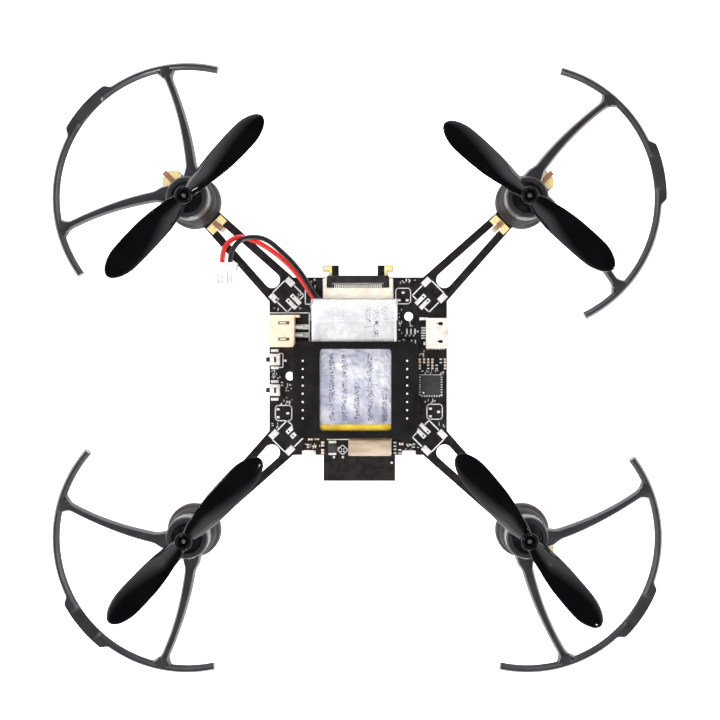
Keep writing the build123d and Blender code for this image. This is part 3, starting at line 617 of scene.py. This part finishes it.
def plug_piece():
    """The white two-pin plug: rails and bars round two contact windows, a collar for each wire."""
    made = bmesh.new()
    left, right = plug_low.x, plug_high.x
    back, front = plug_low.y, plug_high.y
    floor, roof = plug_low.z, plug_high.z
    ledge = roof - plug_wall
    middle = (left + right) / 2
    window_back = back + 1.6
    window_front = front - 2.2
    rails = (
        (left, left + plug_wall), (middle - 0.45, middle + 0.45), (right - plug_wall, right)
    )
    add_box(made, (left, back, floor), (right, front, ledge), 0.18)
    for start, end in rails:
        add_box(made, (start, back, ledge - 0.1), (end, front, roof), 0.14)
    for start, end in ((back, window_back), (window_front, front)):
        add_box(made, (left + 0.1, start, ledge - 0.1), (right - 0.1, end, roof - 0.05), 0.12)
    for side in (-1, 1):
        centre = middle + side * contact_offset
        key = middle + side * key_offset
        add_box(made, (centre - 0.4, window_back - 0.3, ledge),
                (centre + 0.4, window_front, roof - 0.45), 0.05, 1)
        add_box(made, (key - 0.3, back, floor + 1.2), (key + 0.3, back + 2.2, floor + 2.6), 0.1)
        rim = [(0.66, front - 0.6), (0.95, front - 0.6), (0.95, front), (0.66, front)]
        rings = [
            [(x, depth, z) for x, z in circle(centre, floor + 2.0, radius, 24)]
            for radius, depth in rim
        ]
        add_rings(made, [*rings, rings[0]], close_ends=False)
    bmesh.ops.remove_doubles(made, verts=made.verts, dist=1e-4)
    return piece(
        "plug_shell", made, [plug_white, pin_metal], stands_for=("battery_plug",)
    )


plug = plug_piece()
red_lead = wire("red_wire", red_route, wire_red, "battery_red_wire")
black_lead = wire("black_wire", black_route, wire_black, "battery_black_wire")


# ---- guards ----
rim_radius = 32.6
rim_inner = 30.75
rim_middle = 31.75
rim_bottom = 17.8
rim_top = 20.6
rim_step = 0.75
# where each open rim starts and ends, in degrees from its guard angle
rim_ends = {
    "front_left": (-69.5, 70.0),
    "front_right": (-67.5, 71.5),
    "rear_left": (-73.5, 69.5),
    "rear_right": (-76.0, 63.0),
}
spoke_angle = 47.0
spoke_bottom = 17.8
spoke_widest = 18.95
spoke_top = 20.2
spoke_shift = 2.15
spoke_apex = 11.0
spoke_curve = 74.0
collar_radius = 5.2
bumper_shift = 7.5
bumper_half = 14.5
bumper_ramp = 3.3
bumper_depth = 0.95
scoop_half = 7.5
scoop_drop = 0.69


def smooth(value):
    """A soft step from 0 to 1."""
    held = min(max(value, 0.0), 1.0)
    return held * held * (3 - 2 * held)


def rim_ring(angle, offset):
    """The rim's section at an angle, which lies at an offset from the bumper's middle."""
    bulge = smooth((bumper_half - abs(offset)) / bumper_ramp)
    scoop = smooth((scoop_half + 1.0 - abs(offset)) / 2.0)
    outer = rim_radius + bumper_depth * bulge
    shoulder = outer - 0.6 + 0.5 * bulge
    section = [
        (outer, rim_top - 1.0 + 0.8 * bulge),
        (shoulder, rim_top),
        (shoulder - 0.25, rim_top),
        (rim_radius - 1.1, rim_top - scoop_drop * scoop),
        (rim_inner, rim_top - 1.0),
        (rim_inner, rim_top - 1.4),
        (rim_radius - 1.1, rim_bottom),
        (outer - 0.6, rim_bottom),
        (outer, rim_top - 1.8 - 0.8 * bulge),
    ]
    direction = level_axes(angle)[0]
    return [direction * r + Vector((0, 0, z)) for r, z in rounded(section, 0.13, 2)]


def spoke_half_width(distance):
    """Half a spoke's width, with flares into the collar and into the rim."""
    half = 1.42 - 0.36 * smooth((distance - 5) / 20)
    half += 0.9 * (1 - smooth((distance - 4.6) / 3.4))
    half += 2.0 * smooth((distance - 28.4) / 3.6) ** 1.4
    return half


def spoke_ring(angle, hand, distance):
    """One section of a spoke beside the radius it ends on."""
    along, across = level_axes(angle)
    shift = -hand * (spoke_shift - (distance - spoke_apex) ** 2 / (2 * spoke_curve))
    half = spoke_half_width(distance)
    crown = max(half - 0.48, 0.4)
    section = [
        (-half, spoke_widest), (-crown, spoke_top), (crown, spoke_top), (half, spoke_widest),
        (half, spoke_widest - 0.3), (crown, spoke_bottom), (-crown, spoke_bottom),
        (-half, spoke_widest - 0.3),
    ]
    ring = []
    for v, z in rounded(section, 0.14, 2):
        reach = distance
        if distance < collar_radius:
            reach = math.sqrt(max((collar_radius - 0.4) ** 2 - (v + shift) ** 2, 4.0))
        ring.append(along * reach + across * (v + shift) + Vector((0, 0, z)))
    return ring


def joint_block(angle, hand):
    """The outline of the block that carries a spoke's end up to the rim's top."""
    along, across = (axis.xy for axis in level_axes(angle))
    points = [(29.2, -0.95), (29.7, -1.15), (rim_middle, -1.25), (rim_middle, 1.25),
              (29.7, 1.15), (29.2, 0.95)]
    shift = hand * 0.35
    return [along * u + across * (v + shift) for u, v in points]


def guard_piece(corner, guard_angle, hand):
    """Collar, two bowed spokes and an open rim with a scooped bumper."""
    made = bmesh.new()
    start, end = rim_ends[corner]
    steps = round((end - start) / rim_step)
    angles = [start + (end - start) * step / steps for step in range(steps + 1)]
    add_rings(made, [rim_ring(angle, angle + hand * bumper_shift) for angle in angles])
    distances = [4.5] + [5.4 + 26.2 * step / 40 for step in range(41)]
    for angle in (-spoke_angle, spoke_angle):
        add_rings(made, [spoke_ring(angle, hand, distance) for distance in distances])
        add_prism(made, joint_block(angle, hand), rim_bottom + 0.3, rim_top - 0.03, 0.18)
    collar = rounded(
        [(4.25, 15.4), (5.2, 15.4), (5.2, 20.1), (4.8, 20.5), (3.8, 20.5), (3.7, 20.35),
         (3.7, 20.0), (4.25, 20.0)], 0.12, 2,
    )
    add_revolved(made, (0, 0), collar)
    turn = Matrix.Rotation(math.radians(guard_angle), 4, "Z")
    place = Matrix.Translation((*rotors[corner].xy, 0)) @ turn
    bmesh.ops.transform(made, matrix=place, verts=made.verts)
    return piece(
        f"{corner}_guard_shell", made, [guard_black],
        stands_for=(f"{corner}_guard",), sharp=30.0,
    )


# ---- propellers ----
blade_length = 26.6
blade_pitch = 30.0
blade_height = 23.2
root_twist = 34.0
blade_stations = [
    (1.4, 4.0, 1.5),
    (4.0, 5.7, 1.25),
    (8.0, 6.8, 1.0),
    (12.5, 7.1, 0.85),
    (17.0, 7.1, 0.7),
    (21.0, 6.9, 0.6),
    (26.6, 6.1, 0.45),
]
tip_start = 19.0


def along_blade(distance, column):
    """The chord or thickness at a distance, smoothly between stations."""
    for first, second in zip(blade_stations, blade_stations[1:]):
        if distance <= second[0]:
            part = (distance - first[0]) / (second[0] - first[0])
            part = part * 0.5 + smooth(part) * 0.5
            return first[column] + (second[column] - first[column]) * part
    return blade_stations[-1][column]


def blade_ring(distance, hand):
    """One airfoil across a blade that points along +X."""
    tip = min(max((distance - tip_start) / (blade_length - tip_start), 0.0), 0.999)
    narrowing = math.sqrt(1 - tip**2.6)
    chord = along_blade(distance, 1) * narrowing
    thickness = along_blade(distance, 2) * (0.35 + 0.65 * narrowing)
    twist = min(math.radians(root_twist), math.atan(blade_pitch / (2 * math.pi * distance)))
    points = []
    count = 28
    for step in range(count):
        angle = 2 * math.pi * step / count
        u = math.cos(angle)
        camber = 0.055 * chord * (1 - u * u)
        profile = math.sin(angle) * thickness / 2 * (1 - 0.28 * u)
        v = profile + camber
        x_across = u * chord / 2 - 0.25 * smooth((distance - 4) / 10)
        forward = x_across * math.cos(twist) + v * math.sin(twist)
        rise = v * math.cos(twist) - x_across * math.sin(twist)
        points.append(Vector((distance, forward * hand, rise)))
    return points


def prop_piece(corner, prop_angle, hand):
    """Two glossy blades and a hub with a recess round the shaft's end."""
    made = bmesh.new()
    distances = [1.4 + 20.6 * step / 34 for step in range(35)]
    distances += [22.0 + 4.6 * math.sin(math.pi / 2 * step / 14) for step in range(1, 15)]
    for half_turn in (0, 180):
        blade = bmesh.new()
        add_rings(blade, [blade_ring(distance, hand) for distance in distances])
        turn = Matrix.Rotation(math.radians(prop_angle + half_turn), 4, "Z")
        place = Matrix.Translation((*rotors[corner].xy, blade_height)) @ turn
        bmesh.ops.transform(blade, matrix=place, verts=blade.verts)
        part = bpy.data.meshes.new("blade")
        blade.to_mesh(part)
        blade.free()
        made.from_mesh(part)
        bpy.data.meshes.remove(part)
    hub = rounded(
        [(0.5, 21.0), (1.95, 21.0), (2.15, 21.3), (2.15, 24.6), (2.05, 25.2), (1.5, 25.2),
         (1.4, 24.0), (0.5, 24.0)], 0.28, 4,
    )
    add_revolved(made, rotors[corner], hub, 72)
    return piece(
        f"{corner}_propeller", made, [prop_black], f"{corner}_rotor",
        (f"{corner}_prop",), sharp=50.0,
    )


# ---- grommets, then each corner's pieces ----
def grommet_piece(corner):
    """Rubber grommet with two soft steps above the board."""
    profile = rounded(
        [(4.25, 6.4), (6.0, 6.4), (6.3, 6.8), (6.3, 8.0), (5.2, 8.0), (5.2, 9.6), (6.55, 9.6),
         (6.55, 10.5), (6.05, 10.9), (5.75, 11.2), (5.65, 11.9), (5.2, 12.4), (4.95, 12.8),
         (4.25, 12.8)], 0.22, 3,
    )
    made = bmesh.new()
    add_revolved(made, rotors[corner], profile, 72)
    return piece(
        f"{corner}_grommet_rubber", made, [rubber_black],
        stands_for=(f"{corner}_grommet",), sharp=60.0,
    )


for corner, (prop_angle, guard_angle, hand) in corners.items():
    guard_piece(corner, guard_angle, hand)
    prop_piece(corner, prop_angle, hand)
    grommet_piece(corner)
    finish_node(f"{corner}_motor_can", motor_steel, 0.06)
    finish_node(f"{corner}_motor_cap", cap_plastic, 0.05)
    finish_node(f"{corner}_motor_leads", lead_copper, 0.05)
    finish_node(f"{corner}_shaft", shaft_steel, 0.08, f"{corner}_rotor")
    paint_node(f"{corner}_motor_coil", coil_copper)
    paint_node(f"{corner}_motor_magnet", magnet_grey)

# ---- board, plating and the parts that keep their CAD shape ----
finish_node("main_board", solder_mask, 0.04)
paint_node("gold_pads", gold_plate)
finish_node("holder_plate", plate_black, 0.08)
finish_node("header_pins", pin_metal, 0.08)
finish_node("header_sockets", moulded_black, 0.06)
finish_node("header_strips", moulded_black, 0.06)
finish_node("fpc_housing", ivory_plastic, 0.05)
paint_node("fpc_contacts", pin_metal)
finish_node("fpc_latch", moulded_black, 0.12, "cable_latch")
finish_node("usb_shell", shell_metal, 0.04)
finish_node("usb_tongue", moulded_black, 0.04)
finish_node("power_socket", cream_nylon, 0.10)
finish_node("power_pins", pin_metal, 0.05)
finish_node("switch_bodies", switch_metal, 0.08)
finish_node("front_button", moulded_black, 0.08, "front_button_body")
finish_node("rear_button", moulded_black, 0.08, "rear_button_body")
finish_node("radio_board", solder_mask, 0.03)
finish_node("radio_shield", shell_metal, 0.08)
finish_node("battery_tape", tape_amber, 0.03)

# ---- the battery pouch ----
pouch_edge = 1.6
pouch_side = 1.1
crease_y = 10.9
crease_drop = 0.5
pouch_wrinkle = 0.28
film_back = 11.4
film_length = 5.4
film_left = -11.6
film_width = 21.4
film_lifts = (0.10, 0.16)


def pouch_height(x, y):
    """The pouch's top height over a point, with its crease, hollows and wrinkles."""
    top = battery_high.z - 0.02
    to_end = min(y - battery_low.y, battery_high.y - y)
    if to_end < pouch_edge:
        top -= pouch_edge - math.sqrt(max(pouch_edge**2 - (pouch_edge - to_end) ** 2, 0.0))
    lean = 0.35 * noise.noise(Vector((x * 0.25, 3.0, 0.0)))
    top -= crease_drop * smooth((y - crease_y - lean) / 2.6)
    top -= 0.22 * math.exp(-(((y - crease_y - lean) / 0.5) ** 2))
    place = Vector((x * 0.45, y * 0.45, 1.7))
    top -= pouch_wrinkle * abs(noise.fractal(place, 1.0, 2.1, 4))
    crumple = Vector((x * 1.3, y * 1.3, 8.2))
    return top - 0.10 * abs(noise.noise(crumple)) - 0.05 * abs(noise.noise(crumple * 2.7))


def pouch_piece():
    """The foil pouch: a soft block with rounded sides and a creased front shoulder."""
    made = bmesh.new()
    columns = 84
    rows = 150
    sides = 6
    left, right = battery_low.x, battery_high.x
    rings = []
    for row in range(rows + 1):
        y = battery_low.y + 0.02 + (battery_high.y - battery_low.y - 0.04) * row / rows
        to_end = min(y - battery_low.y, battery_high.y - y)
        inset = 0.5 * (1 - smooth(to_end / 2.0))
        ring = []
        for column in range(columns + 1):
            part = column / columns
            x = left + inset + (right - left - 2 * inset) * part
            to_side = min(x - left - inset, right - inset - x)
            top = pouch_height(x, y)
            if to_side < pouch_side:
                top -= pouch_side - math.sqrt(max(pouch_side**2 - (pouch_side - to_side) ** 2, 0))
            ring.append((x, y, max(top, battery_low.z + 0.6)))
        for step in range(1, sides + 1):
            height = ring[columns][2] + (battery_low.z - ring[columns][2]) * step / sides
            ring.append((right - inset, y, height))
        for step in range(1, sides):
            ring.append((right - inset - (right - left - 2 * inset) * step / sides, y, battery_low.z))
        for step in range(sides):
            height = battery_low.z + (ring[0][2] - battery_low.z) * step / sides
            ring.append((left + inset, y, height))
        rings.append(ring)
    add_rings(made, rings)
    return piece(
        "battery_pouch", made, [pouch_foil], stands_for=("battery",), sharp=50.0
    )


def pouch_marks():
    """Faded generic printing on the pouch: columns of short dashes, no lettering."""
    chance = random.Random(7)
    made = bmesh.new()
    columns = [
        (-6.3, 3.3, -13.2), (-3.2, 3.0, -13.2), (-0.2, -3.8, -13.0), (3.0, 3.2, -13.2),
        (6.6, -5.2, -13.4), (4.6, 14.0, 7.6), (2.6, 14.6, 9.6), (6.6, 14.8, 11.8),
    ]
    for x, start, end in columns:
        y = start
        while y > end:
            tall = chance.uniform(0.10, 0.26)
            for _ in range(chance.choice((2, 3, 3, 4))):
                offset = chance.uniform(-0.62, 0.62)
                wide = chance.uniform(0.12, 0.42)
                low = pouch_height(x + offset, y) - 0.08
                add_box(
                    made, (x + offset - wide / 2, y - tall, low),
                    (x + offset + wide / 2, y, low + 0.11),
                )
            y -= tall + chance.choice((0.04, 0.06, 0.08, 0.10, 0.30))
    return piece("battery_marks", made, [ink_dark])


def front_film():
    """Clear film folded over the pouch's front and round the wires' exit."""
    made = bmesh.new()
    columns = 40
    rows = 12
    rings = []
    for row in range(rows + 1):
        y = film_back + film_length * row / rows
        edges = []
        for lift in film_lifts:
            edge = []
            for column in range(columns + 1):
                x = film_left + film_width * column / columns
                top = pouch_height(min(max(x, -11.2), 9.5), min(y, 15.6)) + lift
                top += 0.12 * noise.noise(Vector((x * 0.9, y * 0.9, 4.0)))
                top -= 1.6 * smooth((-10.9 - x) / 0.8) + 1.0 * smooth((y - 16.0) / 0.9)
                edge.append((x, y, top))
            edges.append(edge)
        rings.append(edges[0] + edges[1][::-1])
    add_rings(made, rings)
    return piece("battery_film", made, [clear_tape], sharp=60.0)


pouch_piece()
pouch_marks()
front_film()

# ---- printing, pads and small parts on the board ----
sunk = 0.02
ink_top = board_top + 0.03
pad_top = board_top + 0.09
ink_width = 0.26
cap_share = 0.24
contact_pitch = 0.5
contact_count = 24
contact_left = -5.75
ink_lines = (
    [(-21.9, 13.34), (-12.2, 13.34), (-12.2, 6.3)],
    [(-13.2, 18.9), (-13.2, 15.5), (-12.1, 15.5)],
    [(-8.7, 17.1), (-8.7, 21.7)],
    [(8.67, 17.1), (8.67, 21.7)],
)
thin_lines = (
    [(-20.0, 3.2), (-18.8, 3.2), (-18.8, -0.3), (-20.0, -0.3)],
    [(-7.7, -18.3), (-2.35, -18.3)],
    [(15.4, -2.15), (20.9, -2.15)],
)


def on_arm(home, out, aside):
    """A level place out along a motor's arm and to a side of it."""
    along = Vector(home.xy).normalized()
    return along * out + Vector((-along.y, along.x)) * aside


def add_block(made, left, back, right, front, height, bevel=0.0, material=0, lift=0.0):
    """A block on the board, or lifted off it, whose top is at a height above the board."""
    add_box(made, (left, back, board_top + lift), (right, front, board_top + height), bevel, material)


def add_line(made, points, width=ink_width):
    """Flat strokes along a run of level points."""
    for start, end in zip(points, points[1:]):
        middle = ((start[0] + end[0]) / 2, (start[1] + end[1]) / 2)
        length = math.dist(start, end) + width
        angle = math.degrees(math.atan2(end[1] - start[1], end[0] - start[0]))
        add_prism(made, turned_box(middle, length, width, angle), board_top - sunk, ink_top)


def add_frame(made, left, back, right, front, cut=0.5, width=0.22):
    """A printed square with cut corners."""
    add_line(made, [
        (left + cut, back), (right - cut, back), (right, back + cut), (right, front - cut),
        (right - cut, front), (left + cut, front), (left, front - cut), (left, back + cut),
        (left + cut, back),
    ], width)


def add_marks(made, chance, left, back, right, front, count):
    """Generic printed specks in place of lettering."""
    for _ in range(count):
        x = chance.uniform(left, right)
        y = chance.uniform(back, front)
        wide = chance.choice((0.14, 0.16, 0.45))
        tall = 0.5 if wide < 0.3 else 0.14
        add_box(made, (x - wide / 2, y - tall / 2, board_top - sunk),
                (x + wide / 2, y + tall / 2, ink_top))


def add_pad(made, x, y, wide, tall, angle=0.0):
    """A low rounded solder pad."""
    add_prism(made, turned_box((x, y), wide, tall, angle), board_top - sunk, pad_top, 0.05)


def board_print():
    """White printing: outlines, frames and generic specks."""
    chance = random.Random(11)
    made = bmesh.new()
    for home in rotors.values():
        add_line(made, [on_arm(home, 28.1, -1.9), on_arm(home, 28.1, 1.9)], 0.3)
        for side in (-1, 1):
            hook = ((25.4, 2.95), (22.1, 2.95), (22.1, 1.6))
            add_line(made, [on_arm(home, out, aside * side) for out, aside in hook], 0.3)
    for points in ink_lines:
        add_line(made, points)
    for points in thin_lines:
        add_line(made, points, 0.2)
    add_frame(made, 9.4, 15.6, 13.1, 19.5)
    add_frame(made, -20.7, -13.6, -16.6, -9.8)
    add_frame(made, 17.2, -13.25, 21.05, -9.5)
    diamond = [(-5.16, -20.96), (-3.86, -19.66), (-2.56, -20.96), (-3.86, -22.1), (-5.16, -20.96)]
    add_line(made, diamond, 0.2)
    for x in (12.2, 13.2, 14.2):
        add_line(made, [(x, 8.1), (x, 9.2)], 0.34)
        add_line(made, [(x - 0.32, 7.6), (x - 0.32, 7.7)], 0.3)
    for x in (13.35, 14.3):
        add_line(made, [(x, 5.3), (x, 6.5)], 0.3)
    for left, back, right, front, count in (
        (10.3, 20.8, 14.3, 21.9, 14), (-13.0, 19.4, -10.0, 21.2, 10), (-21.3, 14.0, -19.6, 15.0, 4),
        (-21.6, -3.2, -19.1, -1.0, 14), (-18.2, -6.5, -15.8, -4.4, 9), (-19.4, -9.6, -16.4, -7.8, 7),
        (-21.5, -15.4, -19.6, -14.3, 5), (16.4, -9.2, 19.6, -8.1, 8), (20.2, -15.2, 21.8, -14.2, 4),
        (15.0, -1.9, 21.8, -1.0, 16), (15.2, 2.0, 16.8, 3.8, 8), (-13.4, -20.5, -9.4, -19.4, 9),
        (9.9, 7.9, 11.0, 11.2, 7), (12.0, 10.0, 15.0, 11.6, 6), (11.6, -21.0, 15.2, -19.6, 10),
        (9.2, 12.2, 11.0, 14.6, 6), (-15.6, 14.0, -13.6, 18.4, 8), (-16.3, -8.2, -15.9, -4.0, 3),
    ):
        add_marks(made, chance, left, back, right, front, count)
    return piece("board_print", made, [ink_white])


def board_pads():
    """Solder pads, vias with dark discs of painted shade in their holes, and contact rows."""
    made = bmesh.new()
    for home in rotors.values():
        angle = math.degrees(math.atan2(home.y, home.x))
        for side in (-1, 1):
            add_pad(made, *on_arm(home, 26.95, 2.83 * side), 2.37, 1.54, angle)
            add_pad(made, *on_arm(home, 22.8, 0.78 * side), 3.25, 1.05, angle)
            hole = circle(*on_arm(home, 23.8, 0.78 * side), 0.24, 12)
            # painted shade: a dark disc in each via's hole
            add_prism(made, hole, board_top, pad_top + 0.015, material=1)
    for x, y in ((11.26, 18.4), (10.26, 16.5), (12.27, 16.5), (-20.0, -10.75), (-20.0, -12.75),
                 (-17.6, -11.75), (18.05, -10.6), (18.05, -12.5), (20.1, -11.4), (-18.26, 1.4)):
        add_pad(made, x, y, 0.75, 0.55)
    for x, y in ((-10.9, 21.6), (14.9, 8.7), (20.8, -7.3), (-4.86, -20.4), (10.3, 10.7), (10.3, 9.1)):
        add_pad(made, x, y, 0.42, 0.42)
    for y in (3.9, -0.4, -3.85, -8.25):
        add_pad(made, -20.85, y, 1.9, 0.7)
    for number in range(8):
        add_pad(made, 15.45, -7.1 + 0.62 * number, 0.45, 0.3)
        add_pad(made, 20.85, -7.1 + 0.62 * number, 0.45, 0.3)
        add_pad(made, 15.95 + 0.62 * number, -7.45, 0.3, 0.45)
    for number in range(2):
        for other in range(2):
            add_pad(made, -4.13 + 0.54 * number, -21.23 + 0.54 * other, 0.3, 0.3)
    for number in range(5):
        add_pad(made, 16.5, 7.0 + 0.65 * number, 1.5, 0.34)
    for number in range(contact_count):
        add_pad(made, contact_left + contact_pitch * number, 16.55, 0.26, 0.5)
    return piece("board_solder", made, [solder_tin, painted_hole_shade])


def add_chip_part(made, x, y, wide, tall, height=0.5, body=1):
    """A small ceramic part with metal ends along its longer side."""
    end = max(wide, tall) / 2
    side = min(wide, tall) / 2
    inner = end - 2 * end * cap_share
    for start, stop, material in ((-end, -inner, 0), (-inner, inner, body), (inner, end, 0)):
        shrink = 0.03 if material else 0.0
        low, high = (start, shrink - side), (stop, side - shrink)
        if wide <= tall:
            low, high = low[::-1], high[::-1]
        add_block(made, x + low[0], y + low[1], x + high[0], y + high[1],
                  height + 0.02 - shrink, 0.04, material, 0.02)


def small_parts():
    """Resistors, capacitors and other small parts: tin, tan, orange and black."""
    chance = random.Random(5)
    made = bmesh.new()
    for row_y in (1.35, -0.15):
        for number in range(7):
            x = 15.4 + 1.05 * number
            kind = chance.choice((1, 1, 2, 3))
            if chance.random() < 0.85:
                add_chip_part(made, x, row_y, 0.55, 1.15, 0.5, kind)
    for number in range(4):
        add_chip_part(made, 17.7 + 1.15 * number, 4.5, 0.95, 0.55, 0.45, 1)
    for x, y, wide, tall, kind in (
        (-8.85, -21.3, 0.8, 1.2, 2), (-8.85, -19.4, 0.8, 1.2, 1), (-10.3, -18.1, 1.1, 0.6, 1),
        (-11.9, -18.2, 1.1, 0.6, 2), (-12.5, -19.9, 0.6, 1.0, 1), (-10.9, -19.95, 0.9, 0.5, 2),
        (9.2, -19.5, 0.7, 1.2, 3), (9.2, -21.2, 0.7, 1.2, 3), (10.75, -19.4, 1.1, 0.6, 2),
        (10.4, -21.3, 0.8, 1.1, 3), (12.6, -19.6, 1.0, 0.55, 1), (13.9, -19.8, 0.6, 1.0, 3),
        (-20.4, 16.6, 0.6, 1.1, 3), (-11.4, 14.9, 1.1, 0.6, 3), (10.3, 5.9, 0.6, 1.1, 1),
        (11.4, 6.2, 0.6, 1.1, 3), (-19.0, -4.4, 0.55, 1.0, 3), (-17.4, -8.9, 1.0, 0.55, 1),
    ):
        add_chip_part(made, x, y, wide, tall, 0.5, kind)
    return piece(
        "board_small_parts", made, [solder_tin, ceramic_tan, ceramic_orange, chip_epoxy],
    )


def chip_piece():
    """Sensor, crystal can, diode and two lamps."""
    made = bmesh.new()
    add_block(made, 15.7, -7.2, 20.6, -2.3, 0.85, 0.10)
    add_block(made, 16.1, -6.8, 16.5, -6.4, 0.87, 0.02, 3, 0.8)
    add_block(made, -2.3, -22.1, 8.2, -18.2, 3.3, 0.35, 1)
    add_block(made, -2.45, -22.2, 8.35, -18.1, 0.35, 0.1, 1)
    add_block(made, -7.5, -21.6, -5.3, -19.2, 1.1, 0.12)
    for back, front in ((-22.1, -21.3), (-19.5, -18.6)):
        add_block(made, -7.35, back, -5.45, front, 0.75, 0.08, 2)
    for left, right in ((-14.0, -10.6), (10.9, 14.4)):
        add_block(made, left + 0.5, -22.2, right - 0.5, -20.95, 0.8, 0.1, 3)
        for start in (left, right - 0.62):
            add_block(made, start, -22.1, start + 0.62, -21.05, 0.5, 0.08, 2)
        for number in range(3):
            x = left + 0.9 + 0.75 * number
            add_block(made, x, -21.9, x + 0.42, -21.3, 0.84, 0.02, 2, 0.78)
    return piece(
        "board_chip_set", made, [chip_epoxy, crystal_metal, solder_tin, lamp_white],
        stands_for=("board_chips",),
    )


def usb_details(made):
    """Two T-shaped slots in the USB shell's top, dark boxes of painted shade, and two metal feet beside
    it.
    """
    top = box_mm("usb_shell")[1].z
    for back, front in ((10.25, 11.05), (5.85, 6.6)):
        middle = (back + front) / 2
        # painted shade: dark boxes on the shell stand for the shade inside its slots
        add_box(made, (20.0, back, top - 0.05), (21.0, front, top + 0.02), 0.0, 1)
        add_box(made, (19.5, middle - 0.12, top - 0.05), (20.2, middle + 0.12, top + 0.02), 0.0, 1)
    for left, right, back, front in ((15.3, 17.4, 11.5, 12.2), (16.3, 17.5, 5.3, 6.1)):
        add_block(made, left, back, right, front, 0.5, 0.08)


def power_socket_details(made):
    """The power socket's two windows with their contacts over brown boxes of painted shade, side lugs,
    pin legs and solder.
    """
    roof = box_mm("power_socket")[1].z
    for centre in (6.84, 10.84):
        # painted shade: a brown box inside each window stands in for its shade
        add_box(made, (-19.5, centre - 0.36, roof - 1.4), (-16.9, centre + 0.36, roof - 0.25), 0.0, 2)
        add_box(made, (-19.2, centre - 0.14, roof - 0.4), (-17.6, centre + 0.14, roof - 0.12), 0.04)
    for back, front in ((12.15, 12.78), (4.90, 5.53)):
        add_box(made, (-16.2, back, board_top + 0.1), (-14.4, front, roof - 0.9), 0.1, 3)
    for centre in (7.84, 9.84):
        for middle in (centre - 0.42, centre + 0.42):
            add_block(made, -15.9, middle - 0.16, -12.5, middle + 0.16, 0.85, 0.06, 0, 0.5)
        add_pad(made, -12.9, centre, 1.3, 1.3)


def switch_details(made):
    """A dark strip of painted shade on each switch's top and a foot at each of its ends."""
    for centre in (1.7, -5.9):
        # painted shade: the dark strip on the switch's top
        add_box(made, (-20.85, centre - 0.7, 11.2), (-20.35, centre + 0.7, 11.33), 0.03, 1)
        for back in (centre - 1.5, centre + 1.1):
            add_block(made, -21.9, back, -21.5, back + 0.4, 0.6, 0.05)


def flat_cable_details(made):
    """The flat cable socket's mouth, a dark box of painted shade, and its row of contacts."""
    roof = box_mm("fpc_housing")[1].z
    # painted shade: a dark box in the socket's mouth stands in for the shadow under the latch
    add_box(made, (-6.2, 19.45, roof - 1.1), (6.2, 20.45, roof - 0.75), 0.0, 1)
    for number in range(contact_count):
        x = contact_left + contact_pitch * number
        add_box(made, (x - 0.13, 19.3, roof - 0.75), (x + 0.13, 20.4, roof - 0.45), 0.05)


def connector_details():
    """Slots and windows filled with painted shade, contacts and feet on the sockets and switches."""
    made = bmesh.new()
    usb_details(made)
    power_socket_details(made)
    switch_details(made)
    flat_cable_details(made)
    return piece(
        "connector_details", made, [pin_metal, painted_hole_shade, painted_slot_shade, cream_nylon]
    )


def radio_vias():
    """Three tinned holes on the radio's own board."""
    made = bmesh.new()
    radio_top = box_mm("radio_board")[1].z
    for x, y in ((-6.1, -22.9), (-3.86, -22.9), (8.4, -24.3)):
        add_prism(made, circle(x, y, 0.3, 16), radio_top - 0.02, radio_top + 0.05, 0.01)
    return piece("radio_vias", made, [solder_tin])


board_print()
board_pads()
small_parts()
chip_piece()
connector_details()
radio_vias()

# ---- stage and light ----
floor_half = 4000.0
floor_glow = 1.1
tent_strength = 1.7
light_target = Vector((0, 0, 0.01))

floor_mesh = bmesh.new()
add_box(floor_mesh, (-floor_half, -floor_half, -1.0), (floor_half, floor_half, 0.0))
bmesh.ops.scale(floor_mesh, vec=(1 / METRE,) * 3, verts=floor_mesh.verts)
floor_data = bpy.data.meshes.new("floor")
floor_mesh.to_mesh(floor_data)
floor_mesh.free()
floor = add_object("floor", floor_data)
floor_paint, floor_tree, floor_shader = shader_nodes("floor_paint")
floor_tone = spread(floor_tree, noise_at(floor_tree, 400.0, 2.0), 0, 1)
floor_colour = blend_colours(floor_tree, floor_tone, (0.88, 0.88, 0.885), (0.90, 0.90, 0.905))
fill_inputs(floor_tree, floor_shader, {
    "Base Color": floor_colour,
    "Roughness": 0.8,
    "Emission Color": (1.0, 1.0, 1.0, 1.0),
    "Emission Strength": floor_glow,
})
floor_data.materials.append(floor_paint)


def soft_light(name, place, size, power, mirrored=True):
    """A square soft light that faces the drone. Places in metres, power in watts."""
    lamp = bpy.data.lights.new(name, "AREA")
    lamp.shape = "SQUARE"
    lamp.size = size
    lamp.energy = power
    made = add_object(name, lamp)
    made.location = place
    made.visible_glossy = mirrored
    made.rotation_euler = (light_target - Vector(place)).to_track_quat("-Z", "Y").to_euler()


soft_light("key", (0.05, -1.1, 0.32), 0.30, 7.0)
soft_light("back", (-0.10, 1.1, 0.28), 0.5, 3.0)
soft_light("fill_left", (-1.1, 0.1, 0.28), 0.5, 3.0)
soft_light("fill_right", (1.1, 0.1, 0.28), 0.5, 3.0)
soft_light("overhead", (-0.25, -0.30, 1.3), 0.9, 14.0, mirrored=False)
soft_light("spark_right", (0.75, -0.55, 1.15), 0.09, 1.6)
soft_light("spark_left", (-0.80, 0.50, 1.10), 0.09, 1.6)


def light_tent():
    """An even white tent, bright at its walls, with a dark opening in its roof."""
    made = bpy.data.worlds.new("light_tent")
    made.use_nodes = True
    tree = made.node_tree
    coords = tree.nodes.new("ShaderNodeTexCoord")
    split = add_node(tree, "SeparateXYZ", {"Vector": coords.outputs["Generated"]})
    tone = spread(tree, split.outputs["Z"], 1.0, 0.02, (0.30, 0.72))
    fill_inputs(tree, tree.nodes["Background"], {"Color": tone, "Strength": tent_strength})
    return made


bpy.context.scene.world = light_tent()
